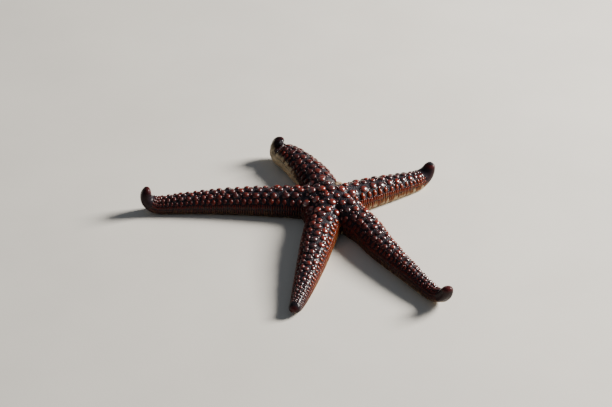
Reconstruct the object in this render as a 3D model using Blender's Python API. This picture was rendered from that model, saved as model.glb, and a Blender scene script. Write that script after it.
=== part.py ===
"""A five-armed sea star with domed plates, lying on a flat floor with the tips of its arms curled up.

Run with: blender --background --python part.py

Metres, +Z up, -Y is the front. The underside stands on z = 0. The middle of the whole star's box on the
floor is the origin. Every part that a person would name is one closed solid: the disc, the sieve plate on
it, and five arms, each parted by a thin cut into its lying length and its curled tip.
"""

import math
from dataclasses import dataclass

import bmesh
import bpy
from mathutils import Vector
from mathutils.geometry import delaunay_2d_cdt

# ---------------------------------------------------------------- driving dimensions, metres and degrees
DISC_HEIGHT = 0.0148  # top of the disc over the floor
PART_GAP = 0.0003  # the thin cut between two neighbouring parts

ROOT_WIDTH = 0.0172  # arm's width where it leaves the disc
TIP_WIDTH_SHARE = 0.27  # arm's width at the tip over its width at the root
ROOT_HEIGHT_SHARE = 0.74  # arm's height over its width at the root
TIP_HEIGHT_SHARE = 0.92  # and at the tip, where the section is round
HEIGHT_SHARE_POWER = 3.5  # how late along the arm the section gets round
TIP_ROUNDING = 0.0026  # length of the rounded end of an arm
TIP_SECTIONS = (0.72, 0.45, 0.22, 0.07)  # sections in that end, as shares of its length before the very tip

WIDEST_LEVEL = 0.40  # level of the widest place of a section, over its height
FLAT_SHARE = 0.60  # half width of the underside that lies on the floor, over the half width
GROOVE_SHARE = 0.26  # half width of the groove along the underside, over the half width
GROOVE_DEPTH_SHARE = 0.22  # depth of that groove, over the section's height
MOUTH_RADIUS = 0.0048
MOUTH_DEPTH = 0.0042

DORSAL_ROWS = 9  # rows of domed plates over an arm's back
LOWEST_ROW_ANGLE = 8.0  # of the lowest rows, over the level of the widest place
PITCH_SHARE = 0.125  # half the spacing of the plates in a row, over the arm's width
LEAST_PITCH_WIDTH = 0.0050  # an arm thinner than this keeps the spacing of this width
KNOB_SHARE = 0.070  # height of a domed plate, over the arm's width
KNOB_FADE_POWER = 5.0  # how late the plates fade out towards the tip

DISC_KNOB_SPACING = 0.0041
DISC_KNOB_HEIGHT = 0.0013

RIM_MARGIN = 0.0012  # between the disc's upper edge and the nearest plate

SIEVE_RADIUS = 0.0019  # the sieve plate, between two arms on the back of the disc
SIEVE_DISTANCE = 0.0085
SIEVE_AZIMUTH = 67.0
SIEVE_THICKNESS = 0.0014
SIEVE_PROUD = 0.0006
SIEVE_BEVEL = 0.0006
SIEVE_SEGMENTS = 20
POCKET_OVERSHOOT = 0.004  # how far the cutter of its pocket stands out of the back

LIFT_SHARES = (0.30, 0.60)  # stretch of an arm over which it starts to slope off the floor
ROLL_SHARES = (0.20, 0.65)  # and over which it rolls
CURL_POWER = 1.4  # 1 curls up evenly, more curls later

PATH_STEP = 0.00025  # step of the walk along an arm


@dataclass
class Arm:
    """How one arm lies: its root's direction, its length over the floor, and how it bends."""

    name: str
    azimuth: float  # direction in which it leaves the disc, counter-clockwise from +X
    root: float  # from the middle of the disc to the face that the arm grows from
    length: float  # from the middle of the disc to the end of the tip, along the underside
    root_turn: float  # how far it turns sideways just off the disc, counter-clockwise
    sway: float  # how far it turns sideways between root and tip, counter-clockwise
    sway_power: float  # 1 turns evenly, more turns later
    curl_start: float  # where the tip starts to curl up, as a share of the arm
    curl: float  # how far it has turned up at its end
    lift: float  # slope of the outer half off the floor
    roll: float  # turn of the outer half about its own axis, left side up
    taper: float  # share of the width lost evenly along the arm; the rest is lost more and more quickly


# Counter-clockwise round the disc, as seen from above.
ARMS = (
    Arm("front_right_arm", -51.6, 0.0178, 0.1013, -14.0, 25.5, 2.2, 0.727, 105.0, 0.0, -23.0, 0.72),
    Arm("back_right_arm", 30.0, 0.0128, 0.0660, -2.7, 3.4, 1.2, 0.614, 115.0, 0.0, 0.0, 0.36),
    Arm("back_left_arm", 108.8, 0.0138, 0.0749, 9.3, 44.7, 1.65, 0.558, 213.0, 0.4, 17.0, -0.15),
    Arm("left_arm", 173.0, 0.0138, 0.1042, -1.2, 18.3, 0.9, 0.738, 165.0, 0.4, 0.0, 0.316),
    Arm("front_arm", 256.8, 0.0178, 0.0835, 4.1, -5.4, 1.2, 0.80, 19.0, 0.5, 0.0, 0.275),
)
ROOT_TURN_LENGTH = 0.018  # length of arm over which the root's turn is made

BACK_COLOUR = (0.060, 0.014, 0.010, 1.0)
TIP_COLOUR = (0.020, 0.008, 0.008, 1.0)
PLATE_COLOUR = (0.260, 0.150, 0.090, 1.0)


# ---------------------------------------------------------------- shape of an arm, laid straight
def smooth(value, start, end):
    """0 up to start, 1 from end on, and an even S between them."""
    t = min(1.0, max(0.0, (value - start) / (end - start)))
    return t * t * (3.0 - 2.0 * t)


def share_along(arm, distance):
    """Where a distance from the middle of the disc is between an arm's root, 0, and its end, 1."""
    return min(1.0, max(0.0, (distance - arm.root) / (arm.length - arm.root)))


def width_at(arm, distance):
    """Width of the body, without its domed plates, at a distance along an arm."""
    u = share_along(arm, distance)
    width = ROOT_WIDTH * (1.0 - arm.taper * u - (1.0 - TIP_WIDTH_SHARE - arm.taper) * u * u)
    left = max(0.0, arm.length - distance)
    if left < TIP_ROUNDING:
        width *= math.sqrt(1.0 - (1.0 - left / TIP_ROUNDING) ** 2)
    return width


def height_at(arm, distance):
    """Height of the body, without its domed plates, at a distance along an arm."""
    u = share_along(arm, distance)
    share = ROOT_HEIGHT_SHARE + (TIP_HEIGHT_SHARE - ROOT_HEIGHT_SHARE) * u**HEIGHT_SHARE_POWER
    return width_at(arm, distance) * share


def dorsal_angles():
    """Angles of the rows of plates round the back of a section, from its right side to its left."""
    step = (180.0 - 2.0 * LOWEST_ROW_ANGLE) / (DORSAL_ROWS - 1)
    return [math.radians(LOWEST_ROW_ANGLE + step * row) for row in range(DORSAL_ROWS)]


def section(width, height):
    """Points (left, up) once round a section, from the groove by the right side, the back and the left."""
    half = width / 2.0
    flat = half * FLAT_SHARE
    groove = half * GROOVE_SHARE
    widest = height * WIDEST_LEVEL
    corner = math.sin(math.radians(45.0))
    flank = (flat + (half - flat) * corner, widest * (1.0 - corner))
    right = [(-groove, 0.0), (-flat, 0.0), (-flank[0], flank[1])]
    back = [
        (-half * math.cos(a), widest + (height - widest) * math.sin(a))
        for a in dorsal_angles()
    ]
    left = [(-y, z) for y, z in reversed(right)]
    return [(0.0, height * GROOVE_DEPTH_SHARE)] + right + back + left


FIRST_DORSAL = 4  # place in a section of the first point of the back


# ---------------------------------------------------------------- pose of an arm
class Path:
    """The line on the floor that an arm's underside follows, and the arm's own axes along it."""

    def __init__(self, arm):
        self.arm = arm
        self.points = [Vector((0.0, 0.0, 0.0))]
        distance = 0.0
        while distance < arm.length + PATH_STEP:
            out = self.axes(distance + PATH_STEP / 2.0)[0]
            self.points.append(self.points[-1] + out * PATH_STEP)
            distance += PATH_STEP

    def axes(self, distance):
        """Unit vectors out along the arm, to its left and up through its back, before it rolls."""
        arm = self.arm
        u = share_along(arm, distance)
        root_turn = arm.root_turn * smooth(distance, arm.root, arm.root + ROOT_TURN_LENGTH)
        heading = math.radians(arm.azimuth + root_turn + arm.sway * u**arm.sway_power)
        rise = arm.lift * smooth(u, *LIFT_SHARES)
        if u > arm.curl_start:
            curled = (u - arm.curl_start) / (1.0 - arm.curl_start)
            rise += arm.curl * curled**CURL_POWER
        rise = math.radians(rise)
        flat_out = Vector((math.cos(heading), math.sin(heading), 0.0))
        left = Vector((-math.sin(heading), math.cos(heading), 0.0))
        up = Vector((0.0, 0.0, 1.0))
        out = flat_out * math.cos(rise) + up * math.sin(rise)
        return out, left, out.cross(left)

    def place(self, distance, left_by, up_by):
        """Where a point of the straight arm comes to lie."""
        step = min(len(self.points) - 2, int(distance / PATH_STEP))
        part = distance / PATH_STEP - step
        foot = self.points[step].lerp(self.points[step + 1], part)
        _, left, up = self.axes(distance)
        u = share_along(self.arm, distance)
        roll = math.radians(self.arm.roll) * smooth(u, *ROLL_SHARES)
        edge = width_at(self.arm, distance) / 2.0 * FLAT_SHARE
        foot = foot + up * (edge * math.sin(abs(roll)))
        rolled_left = left * math.cos(roll) + up * math.sin(roll)
        rolled_up = up * math.cos(roll) - left * math.sin(roll)
        return foot + rolled_left * left_by + rolled_up * up_by


# ---------------------------------------------------------------- building
def material(name, colour, roughness):
    """A plain painted surface."""
    made = bpy.data.materials.new(name)
    made.use_nodes = True
    shader = made.node_tree.nodes["Principled BSDF"]
    shader.inputs["Base Color"].default_value = colour
    shader.inputs["Roughness"].default_value = roughness
    shader.inputs["Metallic"].default_value = 0.0
    return made


def add_object(name, mesh_builder, surface, parent):
    """Turns a filled bmesh into a named object under the star's empty."""
    mesh = bpy.data.meshes.new(name)
    mesh_builder.to_mesh(mesh)
    mesh_builder.free()
    mesh.materials.append(surface)
    made = bpy.data.objects.new(name, mesh)
    bpy.context.scene.collection.objects.link(made)
    made.parent = parent
    return made


def stations(arm, start, end):
    """Distances of the sections between two cuts, closer together as the arm gets thinner."""
    found = [start]
    while found[-1] < end:
        width = max(width_at(arm, found[-1]), LEAST_PITCH_WIDTH)
        found.append(found[-1] + PITCH_SHARE * width)
    scale = (end - start) / (found[-1] - start)
    return [start + (distance - start) * scale for distance in found]


def knob_rise(arm, distance, station, column):
    """How far a point of the back stands out: every other point of the net is the top of a plate."""
    if (station + column) % 2:
        return 0.0
    fade = 1.0 - share_along(arm, distance) ** KNOB_FADE_POWER
    return KNOB_SHARE * width_at(arm, distance) * fade


def ring_points(arm, path, distance, station, is_cut):
    """The placed points of one section, with the tops of its plates raised."""
    outline = section(width_at(arm, distance), height_at(arm, distance))
    angles = dorsal_angles()
    placed = []
    for column, (y, z) in enumerate(outline):
        row = column - FIRST_DORSAL
        if 0 <= row < DORSAL_ROWS and not is_cut:
            rise = knob_rise(arm, distance, station, row)
            y -= math.cos(angles[row]) * rise
            z += math.sin(angles[row]) * rise
        placed.append(path.place(distance, y, z))
    return placed


def skin_between(mesh_builder, ring, next_ring, station):
    """Faces between two sections. Over the back each square is cut so that every plate keeps its own dome."""
    count = len(ring)
    for column in range(count):
        after = (column + 1) % count
        corners = [ring[column], ring[after], next_ring[after], next_ring[column]]
        row = column - FIRST_DORSAL
        if 0 <= row < DORSAL_ROWS - 1:
            if (station + row) % 2 == 0:
                corners = corners[1:] + corners[:1]
            mesh_builder.faces.new((corners[0], corners[1], corners[2]))
            mesh_builder.faces.new((corners[0], corners[2], corners[3]))
        else:
            mesh_builder.faces.new(corners)


def loft(arm, path, start, end, rounded_end):
    """A closed length of an arm between two distances."""
    mesh_builder = bmesh.new()
    distances = stations(arm, start, end)
    if rounded_end:
        distances = [d for d in distances if d < end - TIP_ROUNDING]
        distances += [end - TIP_ROUNDING * share for share in TIP_SECTIONS]
    rings = []
    for station, distance in enumerate(distances):
        is_cut = station in (0, len(distances) - 1)
        points = ring_points(arm, path, distance, station, is_cut)
        rings.append([mesh_builder.verts.new(point) for point in points])
    for station in range(len(rings) - 1):
        skin_between(mesh_builder, rings[station], rings[station + 1], station)
    mesh_builder.faces.new(list(reversed(rings[0])))
    if rounded_end:
        height = height_at(arm, distances[-1])
        pole = mesh_builder.verts.new(path.place(end, 0.0, height / 2.0))
        last = rings[-1]
        for column in range(len(last)):
            mesh_builder.faces.new((last[column], last[(column + 1) % len(last)], pole))
    else:
        mesh_builder.faces.new(rings[-1])
    bmesh.ops.recalc_face_normals(mesh_builder, faces=mesh_builder.faces)
    return mesh_builder


def add_arm(arm, surface, tip_surface, parent):
    """One arm: the length that lies on the floor and the tip that curls up, with a thin cut between."""
    path = Path(arm)
    cut = arm.root + arm.curl_start * (arm.length - arm.root)
    root = arm.root + PART_GAP / 2.0
    lying = loft(arm, path, root, cut - PART_GAP / 2.0, False)
    add_object(arm.name, lying, surface, parent)
    tip = loft(arm, path, cut + PART_GAP / 2.0, arm.length, True)
    add_object(arm.name + "_tip", tip, tip_surface, parent)


# ---------------------------------------------------------------- disc
def disc_side(arm):
    """The face of the disc that an arm grows from, as the placed points of the arm's root section."""
    turn = math.radians(arm.azimuth)
    out = Vector((math.cos(turn), math.sin(turn), 0.0))
    left = Vector((-math.sin(turn), math.cos(turn), 0.0))
    start = out * (arm.root - PART_GAP / 2.0)
    outline = section(ROOT_WIDTH, height_at(arm, arm.root))
    return [start + left * y + Vector((0.0, 0.0, z)) for y, z in outline]


def back_rim():
    """Points round the upper edge of the disc, over the arms' roots and across the corners between them."""
    found = []
    for arm in ARMS:
        found += disc_side(arm)[FIRST_DORSAL : FIRST_DORSAL + DORSAL_ROWS]
    return found


def rim_along(x, y):
    """Distance from the middle of the disc to its upper edge, and that edge's level, towards a point."""
    rim = back_rim()
    for start, end in zip(rim, rim[1:] + rim[:1]):
        before = start.x * y - start.y * x
        after = end.x * y - end.y * x
        ahead = (start.x + end.x) * x + (start.y + end.y) * y > 0.0
        if ahead and before >= 0.0 > after:
            on_rim = start.lerp(end, before / (before - after))
            return math.hypot(on_rim.x, on_rim.y), on_rim.z
    raise ValueError("the disc's edge doesn't go round its middle")


def disc_back_height(x, y):
    """Level of the disc's back, which falls from the middle to its upper edge."""
    radius = math.hypot(x, y)
    if radius < 1e-9:
        return DISC_HEIGHT
    reach, edge = rim_along(x, y)
    return edge + (DISC_HEIGHT - edge) * (1.0 - (radius / reach) ** 2)


def sieve_centre():
    """Where the sieve plate lies on the disc, seen from above."""
    turn = math.radians(SIEVE_AZIMUTH)
    return SIEVE_DISTANCE * math.cos(turn), SIEVE_DISTANCE * math.sin(turn)


def back_net():
    """Points over the back of the disc: the tops of its plates, and six hollows round each."""
    step = DISC_KNOB_SPACING / 2.0
    reach = int(2.0 * ROOT_WIDTH / step)
    sieve_x, sieve_y = sieve_centre()
    found = []
    for line in range(-reach, reach + 1):
        for place in range(-reach, reach + 1):
            x = (place + line / 2.0) * step
            y = line * step * math.sqrt(3.0) / 2.0
            radius = math.hypot(x, y)
            if radius and radius > rim_along(x, y)[0] - RIM_MARGIN:
                continue
            near_sieve = math.hypot(x - sieve_x, y - sieve_y) < 2.0 * SIEVE_RADIUS
            is_top = line % 2 == 0 and place % 2 == 0 and not near_sieve
            rise = DISC_KNOB_HEIGHT if is_top else 0.0
            found.append(Vector((x, y, disc_back_height(x, y) + rise)))
    return found


def under_net():
    """Points over the underside of the disc: five grooves that run together in the mouth."""
    found = [Vector((0.0, 0.0, MOUTH_DEPTH))]
    groove_half = ROOT_WIDTH / 2.0 * GROOVE_SHARE
    groove_depth = ROOT_WIDTH * ROOT_HEIGHT_SHARE * GROOVE_DEPTH_SHARE
    for arm in ARMS:
        turn = math.radians(arm.azimuth)
        out = Vector((math.cos(turn), math.sin(turn), 0.0))
        left = Vector((-math.sin(turn), math.cos(turn), 0.0))
        for distance in (MOUTH_RADIUS, (MOUTH_RADIUS + arm.root) / 2.0):
            for side in (-1.0, 0.0, 1.0):
                level = 0.0 if side else groove_depth
                found.append(out * distance + left * side * groove_half + Vector((0.0, 0.0, level)))
    return found


def fill_net(mesh_builder, edge, inner, faces_up):
    """Triangles over a closed edge of vertices and the free points inside it, as seen from above."""
    points = [Vector((v.co.x, v.co.y)) for v in edge]
    points += [Vector((p.x, p.y)) for p in inner]
    rim = [(place, (place + 1) % len(edge)) for place in range(len(edge))]
    _, _, faces, origins, _, _ = delaunay_2d_cdt(points, rim, [], 1, 1e-7)
    vertices = list(edge) + [mesh_builder.verts.new(point) for point in inner]
    for face in faces:
        corners = [vertices[origins[corner][0]] for corner in face]
        made = mesh_builder.faces.new(corners)
        made.normal_update()
        if (made.normal.z > 0.0) != faces_up:
            made.normal_flip()


def disc_mesh():
    """The disc: a face for every arm, a flank between each two, a domed back and a grooved underside."""
    mesh_builder = bmesh.new()
    sides = [[mesh_builder.verts.new(point) for point in disc_side(arm)] for arm in ARMS]
    last_dorsal = FIRST_DORSAL + DORSAL_ROWS - 1
    back_edge, under_edge = [], []
    for side, next_side in zip(sides, sides[1:] + sides[:1]):
        mesh_builder.faces.new(side)
        back_edge += side[FIRST_DORSAL : last_dorsal + 1]
        under_edge += [side[2], side[1], side[0], side[-1], side[-2]]
        for down in range(2):
            upper, lower = last_dorsal + down, last_dorsal + down + 1
            next_upper, next_lower = FIRST_DORSAL - down, FIRST_DORSAL - down - 1
            corners = (side[upper], side[lower], next_side[next_lower], next_side[next_upper])
            mesh_builder.faces.new(corners)
    fill_net(mesh_builder, back_edge, back_net(), True)
    fill_net(mesh_builder, under_edge, under_net(), False)
    bmesh.ops.recalc_face_normals(mesh_builder, faces=mesh_builder.faces)
    return mesh_builder


def sieve_puck(radius, bottom, top, bevel):
    """A round plate standing on the sieve's place, its upper edge rounded by a bevel."""
    x, y = sieve_centre()
    mesh_builder = bmesh.new()
    made = bmesh.ops.create_cone(
        mesh_builder,
        cap_ends=True,
        segments=SIEVE_SEGMENTS,
        radius1=radius,
        radius2=radius,
        depth=top - bottom,
    )
    bmesh.ops.translate(
        mesh_builder, verts=made["verts"], vec=(x, y, (top + bottom) / 2.0)
    )
    if bevel:
        rim = [
            e
            for e in mesh_builder.edges
            if all(v.co.z > (top + bottom) / 2.0 for v in e.verts)
        ]
        bmesh.ops.bevel(
            mesh_builder, geom=rim, offset=bevel, segments=3, affect="EDGES"
        )
    return mesh_builder


def add_disc(surface, plate_surface, parent):
    """The disc with a pocket in its back, and the sieve plate that sits in the pocket."""
    disc = add_object("disc", disc_mesh(), surface, parent)
    level = disc_back_height(*sieve_centre())
    floor = level - SIEVE_THICKNESS + SIEVE_PROUD
    cutter_mesh = sieve_puck(SIEVE_RADIUS + PART_GAP, floor - PART_GAP, level + POCKET_OVERSHOOT, 0.0)
    cutter = add_object("sieve_pocket", cutter_mesh, surface, parent)
    cutter.hide_render = True
    cutter.display_type = "WIRE"
    cut = disc.modifiers.new("sieve_pocket", "BOOLEAN")
    cut.operation = "DIFFERENCE"
    cut.object = cutter
    plate = sieve_puck(SIEVE_RADIUS, floor, level + SIEVE_PROUD, SIEVE_BEVEL)
    add_object("sieve_plate", plate, plate_surface, parent)


def centre_on_floor(star):
    """Moves the star so that the middle of its box stands over the origin."""
    bpy.context.view_layer.update()
    points = [
        child.matrix_world @ v.co
        for child in star.children
        if not child.hide_render
        for v in child.data.vertices
    ]
    low_x, high_x = min(p.x for p in points), max(p.x for p in points)
    low_y, high_y = min(p.y for p in points), max(p.y for p in points)
    star.location = (-(low_x + high_x) / 2.0, -(low_y + high_y) / 2.0, 0.0)


def main():
    for old in list(bpy.data.objects):
        bpy.data.objects.remove(old)
    star = bpy.data.objects.new("sea_star", None)
    bpy.context.scene.collection.objects.link(star)
    body = material("body_wall", BACK_COLOUR, 0.35)
    tip = material("arm_tip", TIP_COLOUR, 0.30)
    plate = material("sieve_plate", PLATE_COLOUR, 0.60)
    add_disc(body, plate, star)
    for arm in ARMS:
        add_arm(arm, body, tip, star)
    centre_on_floor(star)


main()
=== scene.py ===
"""Looks of a granular sea star: wet skin, domed plates, side combs, groove spines, tube feet and mouth.

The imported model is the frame. One skin stands for the disc, the arms and the arms' tips, and the small
pieces stand on that skin. Metres, +Z up, the starfish lies on z = 0.
"""

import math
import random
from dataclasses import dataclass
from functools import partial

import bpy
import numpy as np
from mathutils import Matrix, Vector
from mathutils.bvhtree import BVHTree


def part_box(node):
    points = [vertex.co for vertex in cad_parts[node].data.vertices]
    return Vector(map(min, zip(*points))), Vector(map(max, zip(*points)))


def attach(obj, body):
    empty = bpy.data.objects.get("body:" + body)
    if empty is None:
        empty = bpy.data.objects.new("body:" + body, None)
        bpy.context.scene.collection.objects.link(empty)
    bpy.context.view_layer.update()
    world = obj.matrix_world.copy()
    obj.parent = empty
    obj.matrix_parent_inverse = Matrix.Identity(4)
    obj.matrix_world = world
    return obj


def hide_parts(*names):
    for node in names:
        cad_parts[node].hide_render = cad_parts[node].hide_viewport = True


bl_info = {
    "name": "Granular Sea Star",
    "version": (1, 0, 0),
    "blender": (4, 5, 0),
    "location": "3D View > Sidebar > Sea Star",
    "description": "Skin, plates, spines and tube feet of a granular sea star, and a plain stage",
    "category": "Object",
}

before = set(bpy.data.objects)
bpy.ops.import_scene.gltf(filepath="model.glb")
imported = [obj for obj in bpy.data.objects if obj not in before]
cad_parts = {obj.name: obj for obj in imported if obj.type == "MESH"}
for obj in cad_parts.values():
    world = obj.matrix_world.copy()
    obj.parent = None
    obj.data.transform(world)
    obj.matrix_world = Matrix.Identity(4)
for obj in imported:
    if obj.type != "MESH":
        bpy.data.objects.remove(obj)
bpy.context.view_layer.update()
BODY = "root"
UP = Vector((0.0, 0.0, 1.0))

# ---------------------------------------------------------------- the body that the frame holds, in metres
DISC_HEIGHT = 0.0148
ROOT_WIDTH = 0.0172
TIP_WIDTH_SHARE = 0.27
ROOT_HEIGHT_SHARE = 0.74
TIP_HEIGHT_SHARE = 0.92
HEIGHT_SHARE_POWER = 3.5
TIP_ROUNDING = 0.0026
WIDEST_LEVEL = 0.40
FLAT_SHARE = 0.60
GROOVE_SHARE = 0.26
GROOVE_DEPTH_SHARE = 0.22
MOUTH_RADIUS = 0.0048
MOUTH_DEPTH = 0.0042
ROOT_TURN_LENGTH = 0.018
LIFT_SHARES = (0.30, 0.60)
ROLL_SHARES = (0.20, 0.65)
CURL_POWER = 1.4
SIEVE_RADIUS = 0.0019
SIEVE_DISTANCE = 0.0085
SIEVE_AZIMUTH = 67.0
FLAT_LEFT = 0.4  # share of the flat's and the groove's width that is left on the bare finger
DEPTH_LEFT = 0.3  # and of the groove's depth
SECTION_WALL = 0.06  # share of a section's outline for the groove's wall, on either side
SECTION_FLAT = 0.08  # for the flat underside beside it
SECTION_SIDE = 0.36  # for the flank and the back, up to the crest
PATH_STEP = 0.00025  # between the points of an arm's path
CHUNK = 4000  # points that are compared with all others at a time

# ---------------------------------------------------------------- where the skin lies within that body
RIDGE_ROOM = 0.07  # share of the width that the ridges on both flanks stand in
PLATE_ROOM = 0.03  # share of the height that the feet of the plates stand in
FORMING = (0.004, 0.6)  # length over which an arm's bare finger forms, and the finger's share that adds to it
CREAM_RISE = (0.05, 0.35)  # shares of an arm's length between which the cream comes up its flanks
FINGER_GROWTH = 0.08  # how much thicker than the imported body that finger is, for what smoothing takes off


@dataclass
class Arm:
    """How one arm lies, bends and is dressed. Angles are in degrees."""

    name: str
    azimuth: float  # direction of the root, from +X towards +Y
    root: float  # distance of the root from the middle of the disc
    length: float  # from the middle of the disc to the arm's end
    root_turn: float  # how far the arm turns to its left just beyond its root
    sway: float  # how far it turns to its left along its whole length
    sway_power: float  # the higher this is, the closer to the end it turns
    curl_start: float  # share of the length at which the tip starts to curl up
    curl: float  # how far the tip curls
    taper: float  # how evenly the arm narrows, from a late narrowing at 0 to an even one at 0.73
    bare: float  # length of the round finger at the end, which carries no plates
    rust: tuple  # rust of the flanks, right and left, and painted shade: from 0 down they are nearly black, as if in shadow
    lift: float = 0.0  # slope at which the outer half of the arm rises
    roll: float = 0.0  # how far the outer half of the arm rolls over to its right
    cream: float = 0.0  # how far up the flanks the cream of the underside comes
    rise: float = 1.0  # how far the plates of the back stand out, over their usual height


ARMS = (
    Arm(
        "front_right_arm", azimuth=-51.6, root=0.0178, length=0.1013, root_turn=-14.0, sway=25.5,
        sway_power=2.2, curl_start=0.727, curl=105.0, taper=0.72, bare=0.0085, rust=(-1.0, 1.6), roll=-23.0,
    ),
    Arm(
        "back_right_arm", azimuth=30.0, root=0.0128, length=0.0660, root_turn=-2.7, sway=3.4,
        sway_power=1.2, curl_start=0.614, curl=115.0, taper=0.36, bare=0.0095, rust=(0.9, 0.5),
        cream=0.16, rise=0.8,
    ),
    Arm(
        "back_left_arm", azimuth=108.8, root=0.0138, length=0.0749, root_turn=9.3, sway=44.7,
        sway_power=1.65, curl_start=0.558, curl=213.0, taper=-0.15, bare=0.0085, rust=(-0.1, -0.3),
        lift=0.4, roll=17.0, cream=1.5, rise=0.6,
    ),
    Arm(
        "left_arm", azimuth=173.0, root=0.0138, length=0.1042, root_turn=-1.2, sway=18.3,
        sway_power=0.9, curl_start=0.738, curl=165.0, taper=0.316, bare=0.0105, rust=(0.45, -0.6), lift=0.4,
    ),
    Arm(
        "front_arm", azimuth=256.8, root=0.0178, length=0.0835, root_turn=4.1, sway=-5.4,
        sway_power=1.2, curl_start=0.80, curl=19.0, taper=0.275, bare=0.0012, rust=(-0.6, 1.2), lift=0.5,
    ),
)


def flat_way(degrees):
    """Unit vectors over the floor in a direction, and to the left of it."""
    turn = math.radians(degrees)
    return Vector((math.cos(turn), math.sin(turn), 0.0)), Vector((-math.sin(turn), math.cos(turn), 0.0))


def disc_centre():
    """Middle of the disc on the floor, worked out from the sieve plate that stands on it."""
    low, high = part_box("sieve_plate")
    turn = math.radians(SIEVE_AZIMUTH)
    x = (low.x + high.x) / 2.0 - SIEVE_DISTANCE * math.cos(turn)
    y = (low.y + high.y) / 2.0 - SIEVE_DISTANCE * math.sin(turn)
    return Vector((x, y, 0.0))


CENTRE = disc_centre()


# ---------------------------------------------------------------- shape and pose of an arm
def smooth(value, start, end):
    """0 up to start, 1 from end on, and an even S between them."""
    t = min(1.0, max(0.0, (value - start) / (end - start)))
    return t * t * (3.0 - 2.0 * t)


def share_along(arm, distance):
    """Where a distance from the middle of the disc is between an arm's root, 0, and its end, 1."""
    return min(1.0, max(0.0, (distance - arm.root) / (arm.length - arm.root)))


def body_at(arm, distance):
    """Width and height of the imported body, without its plates, at a distance along an arm."""
    u = share_along(arm, distance)
    width = ROOT_WIDTH * (1.0 - arm.taper * u - (1.0 - TIP_WIDTH_SHARE - arm.taper) * u * u)
    share = ROOT_HEIGHT_SHARE + (TIP_HEIGHT_SHARE - ROOT_HEIGHT_SHARE) * u**HEIGHT_SHARE_POWER
    return width, width * share


def end_share(arm, distance):
    """1 along an arm, falling to 0 in a round end."""
    left = max(0.0, arm.length - distance)
    return math.sqrt(1.0 - (1.0 - left / TIP_ROUNDING) ** 2) if left < TIP_ROUNDING else 1.0


def forming(arm):
    """Length of arm over which its bare finger forms."""
    return FORMING[0] + FORMING[1] * arm.bare


def dressed(arm, distance, start=0.0, share=1.0):
    """1 where an arm carries plates and ridges, 0 on its bare finger."""
    return smooth(arm.length - distance - arm.bare, start, start + share * forming(arm))


def rust_and_shade_at(arm, side):
    """How rusty an arm's flank is, with painted shade where the flank is darker. Side: -1 on the right, 1 on
    the left.
    """
    right, left = arm.rust
    return right + (left - right) * (0.5 + 0.5 * side)


def paled(arm, distance, level, share=1.0):
    """A point's level for its colour, which is lower where the underside's cream comes up the flanks."""
    return level - share * arm.cream * smooth(share_along(arm, distance), *CREAM_RISE) * (1.0 - level)


def width_at(arm, distance):
    """Width of the skin at a distance along an arm."""
    dress = dressed(arm, distance)
    fit = 1.0 - RIDGE_ROOM * dress + FINGER_GROWTH * (1.0 - dress)
    return body_at(arm, distance)[0] * fit * end_share(arm, distance)


def height_at(arm, distance):
    """Height of the skin at a distance along an arm."""
    dress = dressed(arm, distance)
    fit = 1.0 - PLATE_ROOM * dress + FINGER_GROWTH * (1.0 - dress)
    return body_at(arm, distance)[1] * fit * end_share(arm, distance)


def lift_at(arm, distance):
    """How far the underside rises in the round end, so that the end is blunt."""
    share = end_share(arm, distance)
    if share > 0.05:
        return height_at(arm, distance) * (1.0 / share - 1.0) / 2.0
    return body_at(arm, distance)[1] / 2.0


def flatter(left, flatness):
    """1 where an arm is dressed, and what is left of a form on its bare finger."""
    return left + (1.0 - left) * flatness


def side_point(arm, distance, girdle):
    """Half a section's outline: girdle is -90 at the flat's edge, 0 at the widest place, 90 at the crest."""
    half, height = width_at(arm, distance) / 2.0, height_at(arm, distance)
    flatness = dressed(arm, distance)
    widest = height * (0.5 + (WIDEST_LEVEL - 0.5) * flatness)
    turn = math.radians(girdle)
    if girdle >= 0.0:
        return half * math.cos(turn), widest + (height - widest) * math.sin(turn)
    flat = half * FLAT_SHARE * flatter(FLAT_LEFT, flatness)
    return flat + (half - flat) * math.cos(turn), widest * (1.0 + math.sin(turn))


def ring_point(arm, distance, share):
    """A whole section's outline: share runs from 0 at the groove by the right side to 1 at the groove."""
    side = -1.0 if share < 0.5 else 1.0
    walk = min(share, 1.0 - share)
    under = SECTION_WALL + SECTION_FLAT
    if walk >= under:
        y, z = side_point(arm, distance, -90.0 + 180.0 * (walk - under) / SECTION_SIDE)
        return side * y, z
    flatness = dressed(arm, distance)
    flat = side_point(arm, distance, -90.0)[0]
    groove = width_at(arm, distance) / 2.0 * GROOVE_SHARE * flatter(FLAT_LEFT, flatness)
    if walk < SECTION_WALL:
        part = walk / SECTION_WALL
        depth = height_at(arm, distance) * GROOVE_DEPTH_SHARE * flatter(DEPTH_LEFT, flatness)
        return side * groove * part, depth * (1.0 - part)
    return side * (groove + (flat - groove) * (walk - SECTION_WALL) / SECTION_FLAT), 0.0


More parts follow.
